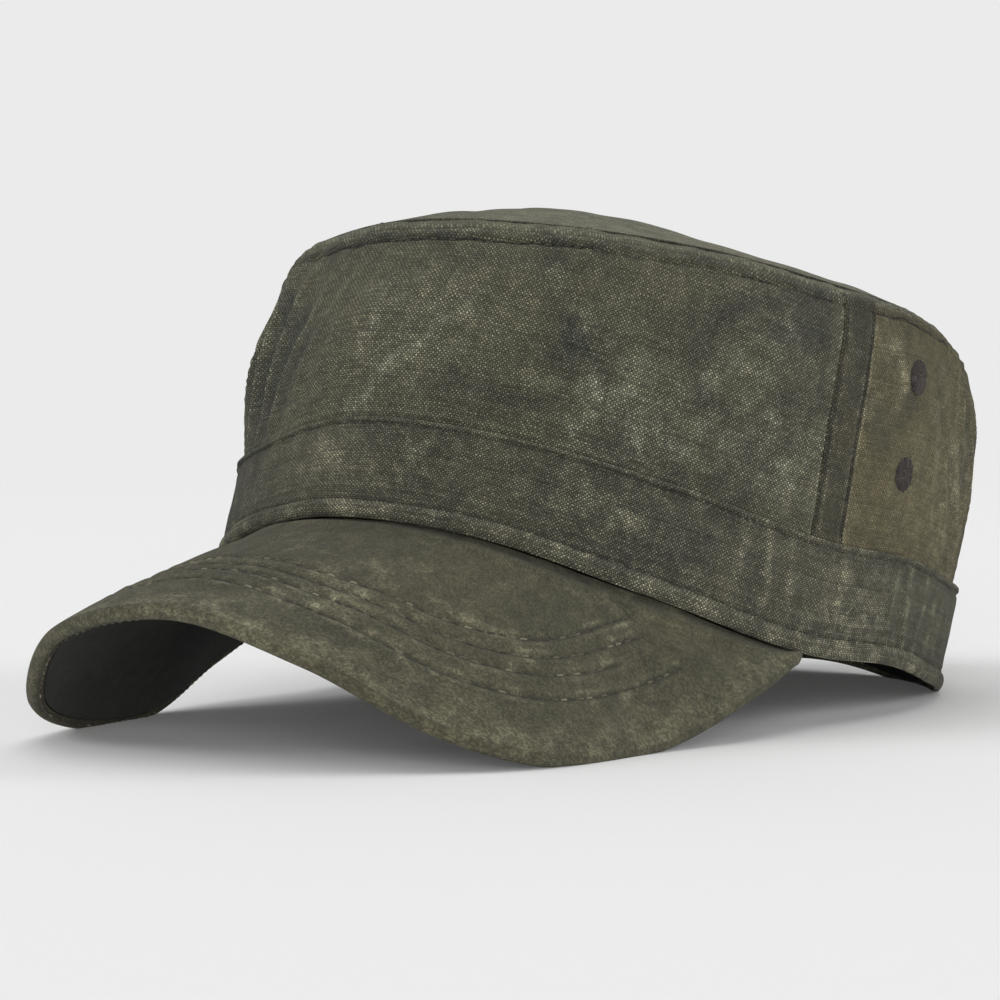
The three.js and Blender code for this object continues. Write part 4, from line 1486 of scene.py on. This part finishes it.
class Effects:
    """Shader groups that several finishes share, each built once."""

    def __init__(self) -> None:
        """Builds the groups."""
        self.weaves = {Weave.PLAIN: self.plain_weave(), Weave.TWILL: self.twill_weave()}
        self.wash = self.wash_marks()

    def threads(self, nodes: Nodes, given: dict) -> tuple[bpy.types.NodeSocket, bpy.types.NodeSocket]:
        """Cloth coordinates in threads, a little uneven as real cloth is."""
        wander = nodes.new("ShaderNodeTexNoise", noise_dimensions="3D")
        nodes.plug(given["Cloth"], wander.inputs["Vector"])
        wander.inputs["Scale"].default_value = 0.12
        wander.inputs["Detail"].default_value = 5.0
        wander.inputs["Roughness"].default_value = 0.6
        shifted = nodes.new("ShaderNodeVectorMath", operation="MULTIPLY_ADD")
        nodes.plug(wander.outputs["Color"], shifted.inputs[0])
        shifted.inputs[1].default_value = (1.6, 1.6, 0.0)
        nodes.plug(given["Cloth"], shifted.inputs[2])
        apart = nodes.new("ShaderNodeSeparateXYZ")
        nodes.plug(shifted.outputs[0], apart.inputs[0])
        across = nodes.math("DIVIDE", apart.outputs["X"], given["Pitch"])
        along = nodes.math("DIVIDE", apart.outputs["Y"], given["Pitch"])
        return across, along

    def chance(self, nodes: Nodes, across: object, along: object) -> bpy.types.NodeSocket:
        """A random number for each crossing of threads."""
        cell = nodes.new("ShaderNodeCombineXYZ")
        nodes.plug(nodes.math("ROUND", across), cell.inputs[0])
        nodes.plug(nodes.math("ROUND", along), cell.inputs[1])
        white = nodes.new("ShaderNodeTexWhiteNoise", noise_dimensions="2D")
        nodes.plug(cell.outputs[0], white.inputs["Vector"])
        return white.outputs["Value"]

    def plain_weave(self) -> bpy.types.NodeTree:
        """Plain weave: the crowns of the threads as Speck, and their relief as Height."""
        given = {"Cloth": ("NodeSocketVector", 0.0), "Pitch": ("NodeSocketFloat", 0.5)}
        nodes, given, put = new_group("plain weave", given, ("Speck", "Height"))
        across, along = self.threads(nodes, given)
        first = nodes.math("COSINE", nodes.math("MULTIPLY", across, math.pi))
        second = nodes.math("COSINE", nodes.math("MULTIPLY", along, math.pi))
        crossing = nodes.math("MULTIPLY", first, second)
        weft = nodes.math("POWER", nodes.math("MAXIMUM", nodes.math("MULTIPLY", crossing, -1.0), 0.0), 0.6)
        warp = nodes.math("POWER", nodes.math("MAXIMUM", crossing, 0.0), 1.1)
        crowns = nodes.math("MULTIPLY_ADD", warp, 0.4, weft)
        chance = self.chance(nodes, across, along)
        thread = nodes.math("MULTIPLY_ADD", self.chance(nodes, 0.0, along), 0.5, nodes.math("POWER", chance, 1.6))
        nodes.plug(nodes.math("MULTIPLY", crowns, nodes.math("MULTIPLY_ADD", thread, 0.95, 0.35)), put["Speck"])
        nodes.plug(nodes.math("POWER", nodes.math("ABSOLUTE", crossing), 0.6), put["Height"])
        return nodes.tree

    def twill_weave(self) -> bpy.types.NodeTree:
        """Fine irregular grain of a close cloth, as Speck and Height."""
        given = {"Cloth": ("NodeSocketVector", 0.0), "Pitch": ("NodeSocketFloat", 0.42)}
        nodes, given, put = new_group("close weave", given, ("Speck", "Height"))
        across, along = self.threads(nodes, given)
        first = nodes.math("COSINE", nodes.math("MULTIPLY", nodes.math("ADD", across, along), math.pi))
        second = nodes.math("COSINE", nodes.math("MULTIPLY", nodes.math("SUBTRACT", across, along), math.pi))
        crossing = nodes.math("ABSOLUTE", nodes.math("MULTIPLY", first, second))
        chance = nodes.math("POWER", self.chance(nodes, across, along), 1.5)
        speck = nodes.math("MULTIPLY", nodes.math("MULTIPLY_ADD", crossing, 0.7, 0.3), chance)
        nodes.plug(nodes.math("MULTIPLY_ADD", speck, 1.1, 0.15), put["Speck"])
        nodes.plug(nodes.math("MULTIPLY_ADD", chance, 0.5, nodes.math("MULTIPLY", crossing, 0.5)), put["Height"])
        return nodes.tree

    def wash_marks(self) -> bpy.types.NodeTree:
        """Marks of washing: Cloud for broad tones, Wisp for soft rubs, Vein for thin ones, Fleck and Brown."""
        given = {"Place": ("NodeSocketVector", 0.0)}
        nodes, given, put = new_group("wash marks", given, ("Cloud", "Wisp", "Vein", "Fleck", "Brown"))
        place = given["Place"]
        cloud = nodes.noise(place, 30.0, 5.0, 0.62, 0.8)
        nodes.plug(nodes.ramp(cloud, 0.4, 0.64), put["Cloud"])
        broad = nodes.ramp(nodes.noise(place, 15.0, 2.0, 0.5), 0.42, 0.62)
        wisp = nodes.ramp(nodes.noise(place, 62.0, 6.0, 0.68, 1.6), 0.5, 0.76)
        nodes.plug(nodes.math("MULTIPLY", wisp, nodes.math("MULTIPLY_ADD", broad, 0.8, 0.2)), put["Wisp"])
        folded = nodes.math("ABSOLUTE", nodes.math("SUBTRACT", nodes.noise(place, 34.0, 5.0, 0.66, 1.4), 0.5))
        where = nodes.ramp(nodes.noise(place, 24.0, 3.0, 0.5), 0.5, 0.68)
        nodes.plug(nodes.math("MULTIPLY", nodes.ramp(folded, 0.06, 0.0), where), put["Vein"])
        fleck = nodes.noise(place, 210.0, 4.0, 0.7)
        nodes.plug(nodes.ramp(fleck, 0.36, 0.68), put["Fleck"])
        brown = nodes.noise(place, 47.0, 4.0, 0.6, 0.5)
        nodes.plug(nodes.ramp(brown, 0.56, 0.72), put["Brown"])
        return nodes.tree


@dataclass(frozen=True)
class Canvas:
    """A washed cloth finish: its tones, its weave and how worn it is."""

    name: str
    base: Colour
    dark: Colour
    light: Colour
    brown: Colour = (0.135, 0.115, 0.066)
    weave: Weave = Weave.PLAIN
    pitch: float = 0.5
    contrast: float = 0.8
    relief: float = 0.0003
    wear: float = 0.75
    clouds: float = 0.75
    wisps: float = 0.55
    roughness: float = 0.92
    sheen: float = 0.04

    def material(self, effects: Effects) -> bpy.types.Material:
        """The finish as a material.

        Args:
            effects: the shared groups.

        Returns:
            A new material.
        """
        material = bpy.data.materials.new(self.name)
        material.use_nodes = True
        material.node_tree.nodes.clear()
        nodes = Nodes(material.node_tree)
        weave = nodes.new("ShaderNodeGroup", node_tree=effects.weaves[self.weave])
        cloth = nodes.new("ShaderNodeAttribute", attribute_name="cloth")
        nodes.plug(cloth.outputs["Vector"], weave.inputs["Cloth"])
        weave.inputs["Pitch"].default_value = self.pitch
        wash = nodes.new("ShaderNodeGroup", node_tree=effects.wash)
        place = nodes.new("ShaderNodeTexCoord")
        nodes.plug(place.outputs["Object"], wash.inputs["Place"])
        rub = nodes.new("ShaderNodeAttribute", attribute_name="rub").outputs["Fac"]
        shade = nodes.new("ShaderNodeAttribute", attribute_name="shade").outputs["Fac"]
        speck, fleck = weave.outputs["Speck"], wash.outputs["Fleck"]
        uneven = nodes.math("MULTIPLY_ADD", wash.outputs["Cloud"], 0.5, 0.7)
        tone = nodes.math("MULTIPLY_ADD", wash.outputs["Cloud"], self.clouds, nodes.math("MULTIPLY", shade, uneven))
        colour = nodes.mix(nodes.math("MULTIPLY", wash.outputs["Brown"], 0.22), (*self.base, 1), (*self.brown, 1))
        colour = nodes.mix(nodes.math("MINIMUM", tone, 1.0), colour, (*self.dark, 1))
        marks = nodes.math("MULTIPLY_ADD", wash.outputs["Vein"], 0.35, nodes.math("MULTIPLY", wash.outputs["Wisp"], self.wisps))
        marks = nodes.math("ADD", marks, rub)
        broken = nodes.math("MULTIPLY", marks, nodes.math("MULTIPLY_ADD", fleck, 0.75, 0.4))
        worn = nodes.math("MULTIPLY", broken, nodes.math("MULTIPLY_ADD", speck, 0.55, 0.7))
        worn = nodes.math("MINIMUM", nodes.math("MULTIPLY", worn, self.wear), 1.0)
        colour = nodes.mix(worn, colour, (*self.light, 1))
        grain = nodes.math("MULTIPLY_ADD", speck, 2 * self.contrast, 1.0 - 0.85 * self.contrast)
        grain = nodes.math("MULTIPLY", grain, nodes.math("MULTIPLY_ADD", fleck, 0.3, 0.85))
        # Shade above 0.85 darkens the colour further: painted shade of narrow grooves and seam lines.
        grain = nodes.math("MULTIPLY", grain, nodes.ramp(shade, 0.85, 1.5, 1.0, 0.28))
        bright = nodes.new("ShaderNodeVectorMath", operation="SCALE")
        nodes.plug(colour, bright.inputs[0])
        nodes.plug(grain, bright.inputs["Scale"])
        bump = nodes.new("ShaderNodeBump")
        bump.inputs["Strength"].default_value = 0.9
        bump.inputs["Distance"].default_value = self.relief
        nodes.plug(weave.outputs["Height"], bump.inputs["Height"])
        shader = nodes.new("ShaderNodeBsdfPrincipled")
        nodes.plug(bright.outputs[0], shader.inputs["Base Color"])
        shader.inputs["Roughness"].default_value = self.roughness
        shader.inputs["Specular IOR Level"].default_value = 0.25
        shader.inputs["Sheen Weight"].default_value = self.sheen
        shader.inputs["Sheen Roughness"].default_value = 0.5
        nodes.plug(bump.outputs["Normal"], shader.inputs["Normal"])
        leave = nodes.new("ShaderNodeOutputMaterial")
        nodes.plug(shader.outputs[0], leave.inputs["Surface"])
        return material


@dataclass(frozen=True)
class Thread:
    """A sewing thread's finish."""

    name: str
    base: Colour
    light: Colour

    def material(self) -> bpy.types.Material:
        """The finish as a material."""
        material = bpy.data.materials.new(self.name)
        material.use_nodes = True
        material.node_tree.nodes.clear()
        nodes = Nodes(material.node_tree)
        tone = nodes.new("ShaderNodeAttribute", attribute_name="rub").outputs["Fac"]
        place = nodes.new("ShaderNodeTexCoord").outputs["Object"]
        fibre = nodes.noise(place, 2600.0, 2.0, 0.6)
        share = nodes.math("MULTIPLY", nodes.math("MULTIPLY_ADD", tone, 0.9, 0.08), nodes.math("ADD", fibre, 0.3))
        colour = nodes.mix(share, (*self.base, 1), (*self.light, 1))
        bump = nodes.new("ShaderNodeBump")
        bump.inputs["Distance"].default_value = 0.0001
        nodes.plug(fibre, bump.inputs["Height"])
        shader = nodes.new("ShaderNodeBsdfPrincipled")
        nodes.plug(colour, shader.inputs["Base Color"])
        shader.inputs["Roughness"].default_value = 0.8
        nodes.plug(bump.outputs["Normal"], shader.inputs["Normal"])
        leave = nodes.new("ShaderNodeOutputMaterial")
        nodes.plug(shader.outputs[0], leave.inputs["Surface"])
        return material


class Finishes:
    """Every finish of the cap, made once."""

    def __init__(self) -> None:
        """Makes the materials."""
        effects = Effects()
        olive, slate, rubbed = (0.108, 0.104, 0.067), (0.050, 0.051, 0.038), (0.27, 0.268, 0.195)
        self.crown = Canvas("washed olive canvas", olive, slate, rubbed).material(effects)
        # The top panel's lighter canvas is painted top light: the same olive canvas, lightened where the dome faces up.
        self.top = Canvas(
            "top canvas with painted top light", (0.160, 0.156, 0.103), (0.112, 0.114, 0.082), (0.32, 0.31, 0.22), contrast=0.5
        ).material(effects)
        self.crown_back = Canvas(
            "browner olive canvas", (0.124, 0.109, 0.056), (0.072, 0.066, 0.041), (0.36, 0.33, 0.21), contrast=0.6
        ).material(effects)
        self.seam = Canvas(
            "olive seam canvas", (0.060, 0.057, 0.035), (0.042, 0.043, 0.031), (0.18, 0.165, 0.11), contrast=0.7
        ).material(effects)
        self.band = Canvas(
            "slate olive canvas", (0.092, 0.089, 0.060), (0.050, 0.051, 0.038), (0.27, 0.257, 0.172)
        ).material(effects)
        self.peak = Canvas(
            "worn peak canvas", (0.068, 0.064, 0.039), (0.047, 0.047, 0.032), (0.23, 0.216, 0.138),
            weave=Weave.TWILL, pitch=0.42, contrast=0.5, relief=0.00014, wear=0.6, clouds=0.45, wisps=0.25,
        ).material(effects)
        # Much darker than the peak's upper canvas: partly a darker cloth, partly painted shade of the underside.
        self.peak_under = Canvas(
            "dark under cloth with painted shade", (0.028, 0.028, 0.024), (0.019, 0.019, 0.018), (0.05, 0.05, 0.043), (0.028, 0.026, 0.022),
            weave=Weave.TWILL, contrast=0.3, relief=0.00008, wear=0.1,
        ).material(effects)
        self.tape = Canvas(
            "dark lining tape", (0.012, 0.012, 0.013), (0.009, 0.009, 0.01), (0.03, 0.03, 0.03), (0.012, 0.011, 0.01),
            weave=Weave.TWILL, contrast=0.3, wear=0.1,
        ).material(effects)
        self.thread = Thread("olive sewing thread", (0.020, 0.017, 0.011), (0.10, 0.09, 0.06)).material()
        self.peak_thread = Thread("worn sewing thread", (0.020, 0.017, 0.011), (0.26, 0.235, 0.155)).material()
        self.eyelet = Thread("brown eyelet thread", (0.008, 0.006, 0.006), (0.056, 0.042, 0.036)).material()


@dataclass(frozen=True)
class Lamp:
    """A soft distant light: direction and width in degrees, and the share of the floor's light that it gives."""

    name: str
    azimuth: float
    elevation: float
    softness: float
    share: float


@dataclass(frozen=True)
class Studio:
    """A pale floor, soft light from all round and the camera at the photograph's angle."""

    azimuth: float = 35.37
    elevation: float = 2.72
    roll: float = -0.38
    distance: float = 938.06
    aim_right: float = -22.07
    aim_up: float = 51.26
    lens: float = 134.02
    pale: float = 0.8308
    floor_tone: float = 0.8
    ambient: float = 0.07
    floor_size: float = 60.0
    floor_glow: float = 0.04
    fade_from: float = 0.45
    fade_to: float = 1.6
    lamps: tuple[Lamp, ...] = (
        Lamp("top_light", 35.0, 88.0, 50.0, 0.28),
        Lamp("high_light", -20.0, 55.0, 40.0, 0.12),
        Lamp("left_light", -50.0, 30.0, 30.0, 0.17),
        Lamp("low_light", 35.0, 12.0, 30.0, 0.13),
        Lamp("right_light", 125.0, 13.0, 30.0, 0.11),
        Lamp("back_light", 215.0, 30.0, 60.0, 0.13),
    )

    def build(self, form: CapForm) -> None:
        """Makes the floor, the lights and the camera."""
        self.camera(form)
        self.floor()
        self.world()
        for lamp in self.lamps:
            self.sun(lamp)

    def camera(self, form: CapForm) -> None:
        """The camera, aimed as in the photograph."""
        turn, rise = math.radians(self.azimuth), math.radians(self.elevation)
        right = Vector((math.cos(turn), math.sin(turn), 0.0))
        back = Vector((math.sin(turn) * math.cos(rise), -math.cos(turn) * math.cos(rise), math.sin(rise)))
        target = right * self.aim_right + Vector((0, 0, self.aim_up)) + Vector(form.shift)
        up = back.cross(right)
        roll = math.radians(self.roll)
        level = right * math.cos(roll) + up * math.sin(roll)
        upright = up * math.cos(roll) - right * math.sin(roll)
        data = bpy.data.cameras.new("camera")
        data.lens = self.lens
        data.sensor_width = 36.0
        data.clip_start = 0.05
        data.clip_end = 200.0
        camera = bpy.data.objects.new("camera", data)
        turned = Matrix((level, upright, back)).transposed().to_4x4()
        camera.matrix_world = Matrix.Translation((target + back * self.distance) * MM) @ turned
        bpy.context.scene.collection.objects.link(camera)
        bpy.context.scene.camera = camera

    def floor(self) -> None:
        """A wide pale floor that fades into the background far from the cap."""
        half = self.floor_size
        mesh = bpy.data.meshes.new("floor")
        mesh.from_pydata([(-half, -half, 0), (half, -half, 0), (half, half, 0), (-half, half, 0)], [], [(0, 1, 2, 3)])
        floor = bpy.data.objects.new("floor", mesh)
        bpy.context.scene.collection.objects.link(floor)
        material = bpy.data.materials.new("pale floor")
        material.use_nodes = True
        nodes = Nodes(material.node_tree)
        shader = material.node_tree.nodes["Principled BSDF"]
        shader.inputs["Base Color"].default_value = (self.floor_tone,) * 3 + (1,)
        shader.inputs["Roughness"].default_value = 0.9
        shader.inputs["Specular IOR Level"].default_value = 0.0
        shader.inputs["Emission Color"].default_value = (1, 1, 1, 1)
        shader.inputs["Emission Strength"].default_value = self.floor_glow
        even = nodes.new("ShaderNodeEmission")
        even.inputs["Color"].default_value = (self.pale,) * 3 + (1,)
        place = nodes.new("ShaderNodeTexCoord").outputs["Object"]
        away = nodes.new("ShaderNodeVectorMath", operation="LENGTH")
        nodes.plug(place, away.inputs[0])
        mixed = nodes.new("ShaderNodeMixShader")
        nodes.plug(nodes.ramp(away.outputs["Value"], self.fade_from, self.fade_to), mixed.inputs[0])
        nodes.plug(shader.outputs[0], mixed.inputs[1])
        nodes.plug(even.outputs[0], mixed.inputs[2])
        nodes.plug(mixed.outputs[0], material.node_tree.nodes["Material Output"].inputs["Surface"])
        mesh.materials.append(material)

    def world(self) -> None:
        """Pale background, and a softer light from it."""
        world = bpy.data.worlds.new("studio")
        world.use_nodes = True
        world.node_tree.nodes.clear()
        nodes = Nodes(world.node_tree)
        seen = nodes.new("ShaderNodeBackground")
        seen.inputs["Color"].default_value = (self.pale,) * 3 + (1,)
        lit = nodes.new("ShaderNodeBackground")
        lit.inputs["Color"].default_value = (self.ambient,) * 3 + (1,)
        path = nodes.new("ShaderNodeLightPath")
        mixed = nodes.new("ShaderNodeMixShader")
        nodes.plug(path.outputs["Is Camera Ray"], mixed.inputs[0])
        nodes.plug(lit.outputs[0], mixed.inputs[1])
        nodes.plug(seen.outputs[0], mixed.inputs[2])
        leave = nodes.new("ShaderNodeOutputWorld")
        nodes.plug(mixed.outputs[0], leave.inputs["Surface"])
        bpy.context.scene.world = world
        bpy.context.scene.view_settings.view_transform = "Standard"

    def sun(self, lamp: Lamp) -> None:
        """One soft distant light."""
        data = bpy.data.lights.new(lamp.name, "SUN")
        turn, rise = math.radians(lamp.azimuth), math.radians(lamp.elevation)
        data.energy = lamp.share * math.pi / math.sin(rise)
        data.angle = math.radians(lamp.softness)
        light = bpy.data.objects.new(lamp.name, data)
        toward = Vector((math.sin(turn) * math.cos(rise), -math.cos(turn) * math.cos(rise), math.sin(rise)))
        light.rotation_mode = "QUATERNION"
        light.rotation_quaternion = toward.to_track_quat("Z", "Y")
        bpy.context.scene.collection.objects.link(light)


def corners(box: Iterable[Vector]) -> list[list[float]]:
    """A box's corners as plain numbers."""
    return [list(corner) for corner in box]


def main() -> None:
    """Loads the frame, and builds and dresses every piece."""
    logging.basicConfig(level=logging.INFO, format="%(name)s: %(message)s")
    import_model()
    form = CapForm.from_frame()
    log.info("middle of the rim lies at %s mm", np.round(form.shift, 3))
    Studio().build(form)
    finishes = Finishes()
    for part in (Crown(form), Band(form), Peak(form), Sewing(form), Eyelets(form)):
        part.build(finishes)
    bpy.context.view_layer.update()


if __name__ == "__main__":
    main()
